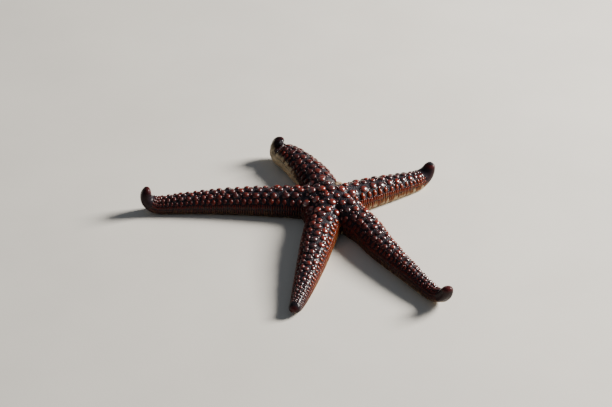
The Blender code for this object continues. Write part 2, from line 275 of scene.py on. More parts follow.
class Path:
    """The line on the floor that an arm's underside follows, with the arm's own axes all along it."""

    def __init__(self, arm):
        self.arm = arm
        steps = int(arm.length / PATH_STEP) + 2
        self.distances = np.arange(steps) * PATH_STEP
        foot = CENTRE.copy()
        feet, outs, lefts, ups = [], [], [], []
        for distance in self.distances:
            out, left, up = self.axes(distance)
            u = share_along(arm, distance)
            roll = math.radians(arm.roll) * smooth(u, *ROLL_SHARES)
            edge = body_at(arm, distance)[0] * end_share(arm, distance) / 2.0 * FLAT_SHARE
            feet.append(foot + up * (edge * math.sin(abs(roll)) + lift_at(arm, distance)))
            outs.append(out)
            lefts.append(left * math.cos(roll) + up * math.sin(roll))
            ups.append(up * math.cos(roll) - left * math.sin(roll))
            foot = foot + self.axes(distance + PATH_STEP / 2.0)[0] * PATH_STEP
        self.feet, self.outs = np.array(feet), np.array(outs)
        self.lefts, self.ups = np.array(lefts), np.array(ups)

    def axes(self, distance):
        """Unit vectors out along the arm, to its left and up through its back, before it rolls."""
        arm = self.arm
        u = share_along(arm, distance)
        root_turn = arm.root_turn * smooth(distance, arm.root, arm.root + ROOT_TURN_LENGTH)
        flat_out, left = flat_way(arm.azimuth + root_turn + arm.sway * u**arm.sway_power)
        rise = arm.lift * smooth(u, *LIFT_SHARES)
        if u > arm.curl_start:
            rise += arm.curl * ((u - arm.curl_start) / (1.0 - arm.curl_start)) ** CURL_POWER
        rise = math.radians(rise)
        out = flat_out * math.cos(rise) + UP * math.sin(rise)
        return out, left, out.cross(left)

    def place(self, distance, left_by, up_by):
        """Where a point of the straight arm comes to lie."""
        step = min(len(self.feet) - 2, max(0, int(distance / PATH_STEP)))
        part = distance / PATH_STEP - step
        foot, left, up = (
            line[step] * (1.0 - part) + line[step + 1] * part
            for line in (self.feet, self.lefts, self.ups)
        )
        return Vector(foot + left * left_by + up * up_by)

    def on_side(self, distance, side, girdle):
        """A point of the body's surface, on its right side (-1) or its left side (1)."""
        y, z = side_point(self.arm, distance, girdle)
        return self.place(distance, side * y, z)

    def stand(self, distance, side, girdle):
        """A point of the surface, the way along the arm there, and the way straight out of the body."""
        near = PATH_STEP * 2.0
        before = self.on_side(distance - near, side, girdle)
        along = (self.on_side(distance + near, side, girdle) - before).normalized()
        below = self.on_side(distance, side, girdle - 2.0)
        around = (self.on_side(distance, side, girdle + 2.0) - below).normalized()
        out = along.cross(around) * -side
        return self.on_side(distance, side, girdle), along, out.normalized()


PATHS = [Path(arm) for arm in ARMS]


def locate(points):
    """For each point: which arm it is on, its distance along it, and its place to the left and up."""
    points = np.asarray(points, np.float32)
    best = np.full(len(points), 1e9, np.float32)
    found = np.zeros((len(points), 4), np.float32)
    for index, path in enumerate(PATHS):
        some = slice(0, None, 4)
        distances = path.distances[some]
        widths = np.array([max(width_at(path.arm, d), 1e-4) for d in distances])
        heights = np.array([height_at(path.arm, d) for d in distances])
        middles = path.feet[some] + path.ups[some] * (heights / 2.0)[:, None]
        for start in range(0, len(points), CHUNK):
            rows = slice(start, start + CHUNK)
            chunk = points[rows]
            apart = np.linalg.norm(chunk[:, None] - middles[None].astype(np.float32), axis=2)
            near = apart.argmin(1)
            score = apart[np.arange(len(chunk)), near] / widths[near]
            better = score < best[rows]
            off = chunk - path.feet[some][near]
            here = np.stack(
                [
                    np.full(len(chunk), index),
                    distances[near] + (off * path.outs[some][near]).sum(1),
                    (off * path.lefts[some][near]).sum(1),
                    (off * path.ups[some][near]).sum(1),
                ],
                1,
            )
            found[rows][better] = here[better]
            best[rows][better] = score[better]
    return found


# ---------------------------------------------------------------- settings that a user may change
def length_setting(name, description, default):
    """A length, in metres."""
    return bpy.props.FloatProperty(
        name=name, description=description, default=default, unit="LENGTH", precision=5
    )


def share_setting(name, description, default):
    """A share of the arm's width."""
    return bpy.props.FloatProperty(name=name, description=description, default=default, subtype="FACTOR")


def colour_setting(name, description, default):
    """A colour: linear red, green and blue."""
    return bpy.props.FloatVectorProperty(name=name, description=description, default=default, subtype="COLOR")


class StarSizes(bpy.types.PropertyGroup):
    """Sizes of the small pieces. A share is of the arm's width where the piece stands."""

    voxel: length_setting("Skin Voxel", "Edge of the cells that the skin is remeshed from", 0.0005)
    plate_share: share_setting("Plate Radius", "Radius of a domed plate, over the arm's width", 0.110)
    plate_height_share: share_setting(
        "Plate Height", "Height of a domed plate over the skin, over the arm's width", 0.068
    )
    plate_pitch_share: share_setting(
        "Plate Pitch", "Half the spacing of the plates in a row, over the arm's width", 0.160
    )
    bead_share: share_setting(
        "Bead Radius", "Radius of a bead between the plates, over the arm's width", 0.050
    )
    disc_spacing: length_setting("Disc Spacing", "Spacing of the plates on the disc", 0.0047)
    disc_plate_radius: length_setting(
        "Disc Plate Radius", "Radius of the largest plates, on the disc", 0.00195
    )
    granule_radius: length_setting(
        "Granule Radius", "Radius of the small grains between the plates", 0.00036
    )
    comb_pitch_share: share_setting(
        "Comb Pitch", "Spacing of the upright ridges on an arm's flank, over the arm's width", 0.078
    )
    mound: length_setting("Mound", "How far the skin swells up round the foot of a plate", 0.00022)


class StarColours(bpy.types.PropertyGroup):
    """Colours of the living animal, wet."""

    skin: colour_setting("Skin", "Skin of the back, between the plates", (0.015, 0.012, 0.018))
    flank: colour_setting("Flank", "Skin low on the arms' sides", (0.085, 0.036, 0.016))
    under: colour_setting(
        "Underside", "Skin of the underside, and the spines that stand on it", (0.56, 0.44, 0.27)
    )
    plate: colour_setting("Plate", "Crest of a domed plate", (0.175, 0.015, 0.004))
    # also the colour that plates take under painted shade
    plate_dark: colour_setting("Dark Plate", "Crest of the darkest plates", (0.046, 0.009, 0.009))
    plate_foot: colour_setting("Plate Foot", "Foot of every plate", (0.015, 0.010, 0.013))
    tan: colour_setting("Tan", "Upright ridges low on an arm's flank", (0.24, 0.110, 0.038))
    comb: colour_setting("Comb", "Upright plates and ridges high on an arm's flank", (0.15, 0.018, 0.001))
    tip: colour_setting("Tip", "Sides of an arm's bare, curled tip", (0.016, 0.005, 0.006))
    end: colour_setting("End", "Very end of an arm", (0.060, 0.010, 0.011))
    sieve: colour_setting("Sieve Plate", "Furrowed plate that lets sea water in", (0.42, 0.23, 0.12))
    eyespot: colour_setting("Eyespot", "Light-sensing spot at the end of an arm", (0.45, 0.02, 0.01))


class StageSettings(bpy.types.PropertyGroup):
    """Floor, lights and camera."""

    elevation: bpy.props.FloatProperty(
        name="Camera Elevation",
        description="How high the camera stands over the floor",
        default=math.radians(34.0),
        subtype="ANGLE",
    )
    distance: length_setting("Camera Distance", "From the camera to the disc", 0.8)
    lens: bpy.props.FloatProperty(
        name="Lens",
        description="Focal length of the camera, in millimetres",
        default=98.8,
    )
    aim: bpy.props.FloatVectorProperty(
        name="Aim",
        description="Point that the camera looks at, from the middle of the disc",
        default=(-0.0121, 0.0, 0.006),
        subtype="TRANSLATION",
    )
    floor: colour_setting("Floor", "Colour of the plain floor", (0.72, 0.69, 0.63))
    key: bpy.props.FloatProperty(
        name="Key Light",
        description="Strength of the light from the back right, in watts",
        default=50.0,
    )
    fill: bpy.props.FloatProperty(
        name="Fill Light",
        description="Strength of the wide light from the front left, in watts",
        default=0.9,
    )


# ---------------------------------------------------------------- materials
class Socket:
    """An output of a material's nodes. Sums written with it add Math nodes."""

    def __init__(self, finish, output):
        self.finish = finish
        self.output = output

    def math(self, operation, first, second):
        """A Math node on two values."""
        return self.finish.node("ShaderNodeMath", {"operation": operation}, {0: first, 1: second})

    def __add__(self, other):
        return self.math("ADD", self, other)

    def __radd__(self, other):
        return self.math("ADD", other, self)

    def __sub__(self, other):
        return self.math("SUBTRACT", self, other)

    def __rsub__(self, other):
        return self.math("SUBTRACT", other, self)

    def __mul__(self, other):
        return self.math("MULTIPLY", self, other)

    def __rmul__(self, other):
        return self.math("MULTIPLY", other, self)


class Finish:
    """A material that is put together from nodes."""

    def __init__(self, name):
        self.material = bpy.data.materials.new(name)
        self.material.use_nodes = True
        self.tree = self.material.node_tree
        self.shader = self.tree.nodes["Principled BSDF"]

    def put(self, inlet, value):
        """Links a socket to an input, or sets the input's own number or colour."""
        if isinstance(value, Socket):
            self.tree.links.new(value.output, inlet)
        elif hasattr(inlet.default_value, "__len__") and len(inlet.default_value) == 4:
            inlet.default_value = (*tuple(value)[:3], 1.0)
        else:
            inlet.default_value = value

    def node(self, kind, settings, values, output=0):
        """Any node: its settings, such as an operation or a ramp's stops, then its inputs."""
        made = self.tree.nodes.new(kind)
        for name, value in settings.items():
            if name == "stops":
                self.set_stops(made.color_ramp, value)
            else:
                setattr(made, name, value)
        for place, value in values.items():
            self.put(made.inputs[place], value)
        return Socket(self, made.outputs[output])

    @staticmethod
    def set_stops(ramp, stops):
        """Gives a colour ramp its stops, each a position and a grey."""
        while len(ramp.elements) < len(stops):
            ramp.elements.new(1.0)
        for element, (position, grey) in zip(ramp.elements, stops):
            element.position = position
            element.color = (grey, grey, grey, 1.0)

    def attributes(self, *names):
        """Numbers that the mesh keeps for every point."""
        return [self.node("ShaderNodeAttribute", {"attribute_name": name}, {}, "Fac") for name in names]

    def place(self):
        """Object coordinates."""
        return self.node("ShaderNodeTexCoord", {}, {}, "Object")

    def noise(self, scale, detail=3.0):
        """Cloudy noise, 0 to 1."""
        values = {"Vector": self.place(), "Scale": scale, "Detail": detail, "Roughness": 0.55}
        return self.node("ShaderNodeTexNoise", {}, values, "Fac")

    def cells(self, scale):
        """Distance to the nearest of many scattered points, for granules and pores."""
        return self.node("ShaderNodeTexVoronoi", {}, {"Vector": self.place(), "Scale": scale}, "Distance")

    def ramp(self, value, *stops):
        """A value led through stops of position and grey."""
        return self.node("ShaderNodeValToRGB", {"stops": stops}, {"Fac": value}, "Color")

    def blend(self, factor, first, second):
        """Two colours mixed."""
        return self.node("ShaderNodeMix", {"data_type": "RGBA"}, {0: factor, 6: first, 7: second}, 2)

    def change(self, value, start, end, first, second):
        """One colour where a value is below start, another from end on, and an even change between."""
        return self.blend(self.ramp(value, (start, 0.0), (end, 1.0)), first, second)

    def gloss_and_shade(self):
        """How wet a plate is, and its painted light and shade: most on the crest of the arms and on their
        rusty flanks, least on low plates and on flanks with painted shade.
        """
        level, rust = self.attributes("level", "rust")
        return self.ramp(level * 0.8 + rust * 0.6, (0.66, 0.0), (1.05, 1.0))

    def bump(self, height, strength, distance):
        """A normal that a height bends."""
        values = {"Height": height, "Strength": strength, "Distance": distance}
        return self.node("ShaderNodeBump", {}, values, "Normal")

    def done(self, **inputs):
        """Sets the shader's inputs, named with underscores for spaces, and returns the material."""
        for name, value in inputs.items():
            self.put(self.shader.inputs[name.replace("_", " ")], value)
        return self.material


def skin_finish(colours):
    """Wet skin: navy black on the back, rusty on the flanks with painted shade on the darker ones, cream
    underneath and dark red at the tips.
    """
    finish = Finish("wet_skin")
    level, finger, rust = finish.attributes("level", "finger", "rust")
    cloud, fine = finish.noise(260.0, 4.0), finish.noise(1500.0)
    wavy_level = level + (cloud - 0.5) * 0.16
    back = finish.change(cloud, 0.35, 0.70, colours.skin, colours.plate_foot)
    # painted shade: flanks low in rust are painted near black, as if in shadow
    rusty_and_shaded = finish.blend(rust, colours.plate_foot, colours.flank)
    low = finish.change(fine, 0.40, 0.62, rusty_and_shaded, colours.plate_foot)
    side = finish.change(wavy_level, 0.22, 0.46, low, back)
    whole = finish.change(wavy_level, 0.01, 0.16, colours.under, side)
    bare = finish.change(level, 0.45, 0.85, colours.tip, back)
    end = finish.change(finger + (cloud - 0.5) * 0.2, 0.84, 1.0, bare, colours.end)
    pale = finish.ramp(level * -1.0, (0.0, 0.0), (0.10, 1.0))
    darkened = finish.ramp(finger - pale * 0.34, (0.0, 0.0), (0.34, 1.0))
    grains = finish.cells(1900.0)
    smoothness = finish.ramp(finger, (0.10, 1.0), (0.55, 0.15))
    return finish.done(
        Base_Color=finish.blend(darkened, whole, end),
        Roughness=finish.ramp(fine, (0.3, 0.28), (0.7, 0.44)),
        Specular_IOR_Level=0.12,
        Coat_Weight=finish.ramp(finger, (0.10, 0.28), (0.55, 0.08)),
        Coat_Roughness=0.14,
        Coat_IOR=1.36,
        Normal=finish.bump((grains * 0.6 + fine * 0.4) * smoothness, 1.0, 0.0005),
    )


def plate_finish(colours):
    """Wet domed plates: brick red crests, each plate in its own shade, with dark feet, and painted shade that
    darkens low plates and shaded flanks.
    """
    finish = Finish("wet_plates")
    tone, crest, share = finish.attributes("tone", "crest", "share")
    cloud, pores, gloss_and_shade = finish.noise(700.0), finish.cells(4200.0), finish.gloss_and_shade()
    shade = finish.ramp(tone + (cloud - 0.5) * 0.5, (0.15, 0.0), (0.85, 1.0))
    # painted shade: low plates and those on shaded flanks are painted darker
    top = finish.blend(shade * (gloss_and_shade * 0.72 + 0.28), colours.plate_dark, colours.plate)
    top = finish.change(share, 0.60, 0.97, top, colours.plate_dark)
    return finish.done(
        Base_Color=finish.change(crest, 0.10, 0.30, colours.plate_foot, top),
        Roughness=finish.ramp(cloud, (0.3, 0.26), (0.7, 0.40)),
        Specular_IOR_Level=0.35,
        Coat_Weight=finish.ramp(crest, (0.40, 0.12), (0.80, 1.0)) * gloss_and_shade,
        Coat_Roughness=0.12,
        Coat_IOR=2.0,
        Normal=finish.bump(pores * 0.5 + cloud * 0.5, 0.22, 0.00015),
    )


def comb_finish(colours):
    """Wet ridges of the flanks: rusty orange above, cream towards the floor, and painted shade on the darker
    flanks.
    """
    finish = Finish("wet_combs")
    tone, crest, level, share, rust = finish.attributes("tone", "crest", "level", "share", "rust")
    cloud = finish.noise(900.0)
    height = level + (cloud - 0.5) * 0.10 + (tone - 0.5) * 0.24
    # painted shade: on flanks low in rust the plates and ridges are painted dark red and brown, as if in
    # shadow
    red = finish.blend(tone * 0.4, colours.plate_dark, colours.plate)
    high = finish.blend(rust, red, finish.blend(tone * 0.5, colours.comb, colours.plate))
    brown = finish.blend(tone, colours.flank, colours.plate_foot)
    low = finish.blend(rust, brown, finish.blend(tone * 0.5, colours.tan, colours.comb))
    fringe = finish.blend(tone * 0.5, finish.blend(rust, colours.flank, colours.under), colours.tan)
    creamy = finish.change(height * -1.0, 0.0, 0.08, fringe, colours.under)
    body = finish.change(height, 0.24, 0.56, low, high)
    body = finish.change(height, 0.10, 0.20, creamy, body)
    body = finish.change(share, 0.66, 0.95, body, colours.plate_dark)
    return finish.done(
        Base_Color=finish.change(crest, 0.05, 0.45, colours.plate_foot, body),
        Roughness=finish.ramp(cloud, (0.3, 0.26), (0.7, 0.40)),
        Specular_IOR_Level=0.20,
        Coat_Weight=finish.ramp(crest, (0.30, 0.10), (0.80, 0.45)) * finish.gloss_and_shade(),
        Coat_Roughness=0.12,
        Normal=finish.bump(cloud, 0.25, 0.00015),
    )


def spine_finish(colours):
    """Cream spines along the grooves and round the mouth."""
    finish = Finish("cream_spines")
    tone, crest = finish.attributes("tone", "crest")
    body = finish.blend(tone * 0.5, colours.under, colours.flank)
    return finish.done(
        Base_Color=finish.blend(finish.ramp(crest, (0.0, 0.6), (0.5, 0.0)), body, colours.flank),
        Roughness=0.38,
        Coat_Weight=0.6,
        Coat_Roughness=0.12,
        Normal=finish.bump(finish.noise(2500.0), 0.2, 0.0001),
    )


def foot_finish(colours):
    """Soft, pale tube feet."""
    finish = Finish("tube_feet")
    crest = finish.attributes("crest")[0]
    pale = finish.blend(0.35, colours.under, (0.80, 0.62, 0.36))
    return finish.done(
        Base_Color=finish.blend(finish.ramp(crest, (0.55, 0.0), (0.95, 0.7)), pale, colours.comb),
        Roughness=0.30,
        Coat_Weight=0.8,
        Coat_Roughness=0.10,
        Subsurface_Weight=0.15,
        Subsurface_Scale=0.0008,
        Normal=finish.bump(finish.noise(3000.0), 0.15, 0.0001),
    )


def sieve_finish(colours):
    """Matt, limy sieve plate with darker furrows."""
    finish = Finish("sieve_plate")
    crest, cloud = finish.attributes("crest")[0], finish.noise(2200.0)
    limy = finish.change(cloud, 0.35, 0.65, colours.sieve, colours.under)
    return finish.done(
        Base_Color=finish.change(crest, 0.1, 0.8, colours.flank, limy),
        Roughness=finish.ramp(cloud, (0.3, 0.45), (0.7, 0.65)),
        Coat_Weight=0.35,
        Coat_Roughness=0.15,
        Normal=finish.bump(cloud, 0.4, 0.00012),
    )


def eyespot_finish(colours):
    """Bright red spot under the end of an arm."""
    finish = Finish("eyespots")
    return finish.done(
        Base_Color=finish.change(finish.noise(5000.0), 0.4, 0.6, colours.eyespot, colours.tip),
        Roughness=0.25,
        Coat_Weight=1.0,
        Coat_Roughness=0.05,
    )


def floor_finish(stage):
    """Plain pale floor with the faintest mottling."""
    finish = Finish("plain_floor")
    darker = tuple(0.94 * value for value in stage.floor)
    return finish.done(
        Base_Color=finish.change(finish.noise(14.0, 4.0), 0.35, 0.65, darker, stage.floor),
        Roughness=0.75,
        Normal=finish.bump(finish.noise(900.0), 0.05, 0.0005),
    )


# ---------------------------------------------------------------- modelling helpers
def deselect_all():
    """Leaves nothing selected, so that the next operator acts on its own piece only."""
    if bpy.context.object and bpy.context.object.mode != "OBJECT":
        bpy.ops.object.mode_set(mode="OBJECT")
    bpy.ops.object.select_all(action="DESELECT")


def named(name):
    """The object that an operator has just added, with its name and with its place in its mesh."""
    piece = bpy.context.object
    piece.name = name
    piece.data.name = name
    bpy.ops.object.transform_apply(location=True, rotation=True, scale=True)
    return piece


def triples(items, field):
    """One field of a mesh's points or normals, as rows of three numbers."""
    found = np.empty(len(items) * 3, np.float32)
    items.foreach_get(field, found)
    return found.reshape(-1, 3)


def points_of(mesh):
    """The places of a mesh's points."""
    return triples(mesh.vertices, "co")


def set_points(mesh, points):
    """Moves all of a mesh's points."""
    mesh.vertices.foreach_set("co", np.asarray(points, np.float32).ravel())
    mesh.update()


def keep(mesh, name, values):
    """Stores one number for each point, for the materials to read."""
    layer = mesh.attributes.new(name, "FLOAT", "POINT")
    layer.data.foreach_set("value", np.asarray(values, np.float32))


def pick(piece):
    """Selects one piece only, for the operators that follow."""
    deselect_all()
    piece.select_set(True)
    bpy.context.view_layer.objects.active = piece


def apply_modifier(piece, kind, **settings):
    """Adds a modifier to a piece and applies it."""
    pick(piece)
    bpy.ops.object.modifier_add(type=kind)
    modifier = piece.modifiers[-1]
    for name, value in settings.items():
        setattr(modifier, name, value)
    bpy.ops.object.modifier_apply(modifier=modifier.name)


def hand_over(piece, material, slot, *nodes):
    """Dresses a finished piece, and has it ride on the starfish's body."""
    piece.data.materials.clear()
    piece.data.materials.append(material)
    pick(piece)
    bpy.ops.object.shade_smooth()
    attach(piece, BODY)
    if nodes:
        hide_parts(*nodes)
    deselect_all()


@dataclass
class Spot:
    """Where one small piece stands, and how large and how light it is."""

    place: Vector
    along: Vector
    out: Vector
    sizes: tuple  # half lengths along the arm, across it and out of the skin
    unwrap: tuple  # its place on the unrolled skin, in metres
    share: float  # how far out along the arm, 0 to 1
    level: float  # how high on the body, 0 at the floor and 1 at the crest
    tone: float  # its own shade among its like, 0 to 1
    rust: float = 0.5  # rust and painted shade of the flank that it stands on
    bend: float = 0.0  # how the skin rounds away across the arm, 1 over the radius in metres


def take_master(piece):
    """The points and faces of a master shape, which is then removed."""
    points = points_of(piece.data).astype(np.float64)
    faces = [tuple(face.vertices) for face in piece.data.polygons]
    mesh = piece.data
    bpy.data.objects.remove(piece)
    bpy.data.meshes.remove(mesh)
    return points, faces


def dome_master(segments, rings):
    """A unit dome that goes a little below its foot, to stand in the skin."""
    deselect_all()
    bpy.ops.mesh.primitive_uv_sphere_add(segments=segments, ring_count=rings, radius=1.0)
    bpy.ops.object.mode_set(mode="EDIT")
    bpy.ops.mesh.select_all(action="SELECT")
    bpy.ops.mesh.bisect(plane_co=(0.0, 0.0, -0.30), plane_no=(0.0, 0.0, 1.0), clear_inner=True)
    bpy.ops.object.mode_set(mode="OBJECT")
    return take_master(named("dome"))


def spine_master():
    """A unit spine, six-sided, waisted at the foot and blunt at the end."""
    deselect_all()
    bpy.ops.mesh.primitive_cylinder_add(
        vertices=6, radius=1.0, depth=1.0, location=(0.0, 0.0, 0.3), end_fill_type="TRIFAN"
    )
    bpy.ops.object.mode_set(mode="EDIT")
    select_faces(lambda face: face.normal.z > 0.9)
    bpy.ops.mesh.extrude_region_move(TRANSFORM_OT_translate={"value": (0.0, 0.0, 0.16)})
    bpy.ops.transform.resize(value=(0.55, 0.55, 1.0))
    select_faces(lambda face: face.normal.z < -0.9)
    bpy.ops.transform.resize(value=(0.75, 0.75, 1.0))
    bpy.ops.object.mode_set(mode="OBJECT")
    return take_master(named("spine"))


def foot_master():
    """A unit tube foot: a stalk that widens into a sucker with a hollow end."""
    deselect_all()
    bpy.ops.mesh.primitive_cylinder_add(vertices=8, radius=0.55, depth=0.72, location=(0.0, 0.0, 0.36))
    bpy.ops.object.mode_set(mode="EDIT")
    select_faces(lambda face: face.normal.z > 0.9)
    bpy.ops.mesh.extrude_region_move(TRANSFORM_OT_translate={"value": (0.0, 0.0, 0.14)})
    bpy.ops.transform.resize(value=(1.8, 1.8, 1.0))
    bpy.ops.mesh.extrude_region_move(TRANSFORM_OT_translate={"value": (0.0, 0.0, 0.14)})
    bpy.ops.mesh.inset(thickness=0.30)
    bpy.ops.transform.translate(value=(0.0, 0.0, -0.10))
    bpy.ops.object.mode_set(mode="OBJECT")
    return take_master(named("tube_foot"))


def select_faces(wanted):
    """In edit mode, selects the faces that a test on them picks, and nothing else."""
    bpy.ops.mesh.select_mode(type="FACE")
    bpy.ops.mesh.select_all(action="DESELECT")
    bpy.ops.object.mode_set(mode="OBJECT")
    for face in bpy.context.object.data.polygons:
        face.select = wanted(face)
    bpy.ops.object.mode_set(mode="EDIT")


LEVEL_HEIGHT = 0.7 * ROOT_WIDTH  # over which a level rises from 0 to 1 in what stands out of the skin


def scatter(name, master, spots):
    """One piece made of a copy of the master at every spot, with its attributes and its unrolled map."""
    points, faces = master
    count = len(points)
    place, along, out, sizes, bend, level = (
        np.array([getattr(spot, field) for spot in spots])
        for field in ("place", "along", "out", "sizes", "bend", "level")
    )
    local = points[None] * sizes[:, None]
    local[:, :, 2] -= 0.5 * bend[:, None] * local[:, :, 1] ** 2
    axes = np.stack([along, np.cross(out, along), out], 1)
    placed = (place[:, None] + np.einsum("spi,sij->spj", local, axes)).reshape(-1, 3)
    placed[:, 2] = np.maximum(placed[:, 2], 0.0)
    mesh = bpy.data.meshes.new(name)
    shifts = np.arange(len(spots)) * count
    mesh.from_pydata(placed, [], [tuple(v + s for v in face) for s in shifts for face in faces])
    piece = bpy.data.objects.new(name, mesh)
    bpy.context.scene.collection.objects.link(piece)
    crest = (points[:, 2] - points[:, 2].min()) / np.ptp(points[:, 2])
    keep(mesh, "crest", np.tile(crest, len(spots)))
    for field in ("tone", "rust", "share"):
        keep(mesh, field, np.repeat([getattr(spot, field) for spot in spots], count))
    rise = placed.reshape(len(spots), count, 3) - place[:, None]
    keep(mesh, "level", (level[:, None] + rise[:, :, 2] / LEVEL_HEIGHT).ravel())
    add_unrolled_map(mesh, points, spots, sizes)
    return piece


def set_out(name, master, spots, material, slot="body_wall"):
    """Makes one piece of copies of a master, and hands it over."""
    hand_over(scatter(name, master, spots), material, slot)


MAP_MARGIN = 0.01  # left free round the patches of a piece's map
PATCH_CORE = 0.06  # share of a patch's radius that the crest keeps
PATCH_FIT = 0.95  # size of a patch over that of its copy


def add_unrolled_map(mesh, points, spots, sizes):
    """Gives every copy its own patch at its place on the unrolled skin, seen straight from outside."""
    radius = np.maximum(np.linalg.norm(points[:, :2], axis=1), 1e-9)
    fall = (points[:, 2].max() - points[:, 2]) / np.ptp(points[:, 2])
    spread = (PATCH_CORE + (1.0 - PATCH_CORE) * fall) / radius
    patch = points[:, :2] * np.where(radius > 1e-6, spread, 0.0)[:, None]
    roots = np.array([spot.unwrap for spot in spots])
    flat = (roots[:, None] + patch[None] * sizes[:, None, :2] * PATCH_FIT).reshape(-1, 2)
    low, high = flat.min(0), flat.max(0)
    flat = MAP_MARGIN + (1.0 - 2.0 * MAP_MARGIN) * (flat - low) / (high - low)
    corners = np.empty(len(mesh.loops), np.int32)
    mesh.loops.foreach_get("vertex_index", corners)
    layer = mesh.uv_layers.new(name="OFBake")
    layer.data.foreach_set("uv", flat[corners].astype(np.float32).ravel())


# ---------------------------------------------------------------- where the plates stand
SEEDS = {"disc": 7, "mouth": 9, "webs": 77, "back": 100, "spines": 500, "feet": 600}
NET = (  # girdle, kind and chance of what stands at an arm's stations: the even ones, then the odd ones
    ((90.0, "plate", 1.0), (70.0, "bead", 0.60), (50.0, "bead", 0.55), (62.0, "grain", 0.5)),
    ((62.0, "plate", 1.0), (80.0, "bead", 0.30), (90.0, "grain", 0.5), (73.0, "grain", 0.4)),
)
# how far short of the bare finger (below 0, on it) a kind of piece ends, and in what share of the finger's
# forming length it shrinks
PLATES_END = (-0.0006, 0.80)
RIDGES_END = (0.0002, 0.90)
SPINES_END = (-0.0010, 1.00)
LEAST_HEIGHT = 0.0001  # of a ridge that shrinks towards the bare finger, before it is left out
LEAST_PLATE = 0.00012  # the same of a plate, a bead or a grain
# how far beyond an arm's root the rows of a kind start, and how far short of the arm's end they stop
BACK_REACH = (0.0006, 0.0015)
FLANK_REACH = (-0.0030, 0.0012)
GROOVE_REACH = (0.45, 0.0022)  # here the first is a share of the root's own distance
DISC_RISE = 0.64  # height over radius of what stands on the disc
LOOSE_RISE = {"bead": 0.65, "grain": 0.85}  # and of what stands between the plates of an arm
LOOSE_TONE = 0.4  # and its tone over that of a plate
SEAT_REACH = 0.002  # how far out of the skin and into it a piece's seat is looked for
SEAT_TURN = 0.6  # how much the skin's own direction there counts, over that of the smooth body
GIRTH = 1.3  # length of the skin round one side of an arm, over the arm's width
INSIDE = (0.0005, 0.51, 0.98)  # distance ahead, and shares of width and height, that count as in an arm
RIM_INSET = 0.0004  # how far inside the arms' roots the disc's corners lie


def shake(rng, most):
    """A chance shift, either way."""
    return rng.uniform(-most, most)


def stations(arm, pitch_share, start, end):
    """Distances along an arm at a pitch that follows its width."""
    found, distance = [], start
    while distance < end:
        found.append(distance)
        distance += pitch_share * max(width_at(arm, distance), 0.005)
    return found


def unrolled(arm, distance, side, girdle):
    """Place on the arm's unrolled skin, in metres."""
    girth = width_at(arm, distance) * GIRTH
    return distance, side * girth * (90.0 - girdle) / 180.0


def in_other_arm(path, point):
    """Whether a point lies within the body of an arm other than its own."""
    close, width_share, height_share = INSIDE
    for other in PATHS:
        if other is path:
            continue
        off = np.array(point) - other.feet
        near = int(np.argmin((off**2).sum(1)))
        distance = other.distances[near]
        width, height = width_at(other.arm, distance), height_at(other.arm, distance)
        ahead = off[near] @ other.outs[near]
        left, up = abs(off[near] @ other.lefts[near]), off[near] @ other.ups[near]
        if abs(ahead) < close and left < width * width_share and up < height * height_share:
            return True
    return False


def rows_on(path, sizes, rng):
    """Net of an arm's back: (distance, side, girdle, kind) of plates, and of what stands between them."""
    arm, found = path.arm, []
    start, short = BACK_REACH
    places = stations(arm, sizes.plate_pitch_share, arm.root + start, arm.length - short)
    for number, distance in enumerate(places):
        pitch = sizes.plate_pitch_share * width_at(arm, distance)
        for girdle, kind, chance in NET[number % 2]:
            for side in (-1.0, 1.0) if girdle < 90.0 else (1.0,):
                moved = distance + pitch * shake(rng, 0.22)
                turned = girdle + shake(rng, 3.5)
                if rng.random() < chance:
                    found.append((moved, side, turned, kind))
    return found


def spot_on(path, distance, side, girdle, sizes, tone):
    """A spot on an arm's side."""
    arm = path.arm
    unwrap, share = unrolled(arm, distance, side, girdle), share_along(arm, distance)
    level = paled(arm, distance, side_point(arm, distance, girdle)[1] / height_at(arm, distance))
    # the flank's rust and painted shade, blended across the crest
    rust = rust_and_shade_at(arm, side * math.cos(math.radians(girdle)))
    return Spot(*path.stand(distance, side, girdle), sizes, unwrap, share, level, tone, rust)


def back_spots(index, sizes):
    """Domed plates, and the beads and grains between them, on the back of one arm."""
    path, rng = PATHS[index], random.Random(SEEDS["back"] + index)
    plates, beads = [], []
    for distance, side, girdle, kind in rows_on(path, sizes, rng):
        width = width_at(path.arm, distance)
        fade = dressed(path.arm, distance, *PLATES_END)
        tone, big, stretch = rng.random(), rng.uniform(0.90, 1.10), rng.uniform(0.93, 1.07)
        if kind == "plate":
            big *= 0.78 if rng.random() < 0.10 else 1.0
            radius = sizes.plate_share * width * big * (0.35 + 0.65 * fade)
            height = sizes.plate_height_share * width * big * fade * path.arm.rise
        else:
            if kind == "bead":
                radius = sizes.bead_share * width * big * rng.uniform(0.75, 1.15) * (0.4 + 0.6 * fade)
            else:
                radius = sizes.granule_radius * big * (0.45 + 0.55 * width / ROOT_WIDTH)
            height, tone = radius * LOOSE_RISE[kind] * fade, tone * LOOSE_TONE
        if height < LEAST_PLATE:
            continue
        lengths = (radius * stretch, radius / stretch, height)
        spot = spot_on(path, distance, side, girdle, lengths, tone)
        if not in_other_arm(path, spot.place):
            (plates if kind == "plate" else beads).append(spot)
    return plates, beads


def rim_corners():
    """Corners of the disc seen from above, at the right and left sides of every arm's root."""
    found = []
    for arm in ARMS:
        out, left = flat_way(arm.azimuth)
        for side in (-1.0, 1.0):
            found.append(out * (arm.root - RIM_INSET) + left * side * width_at(arm, arm.root) / 2.0)
    return found


RIM = rim_corners()


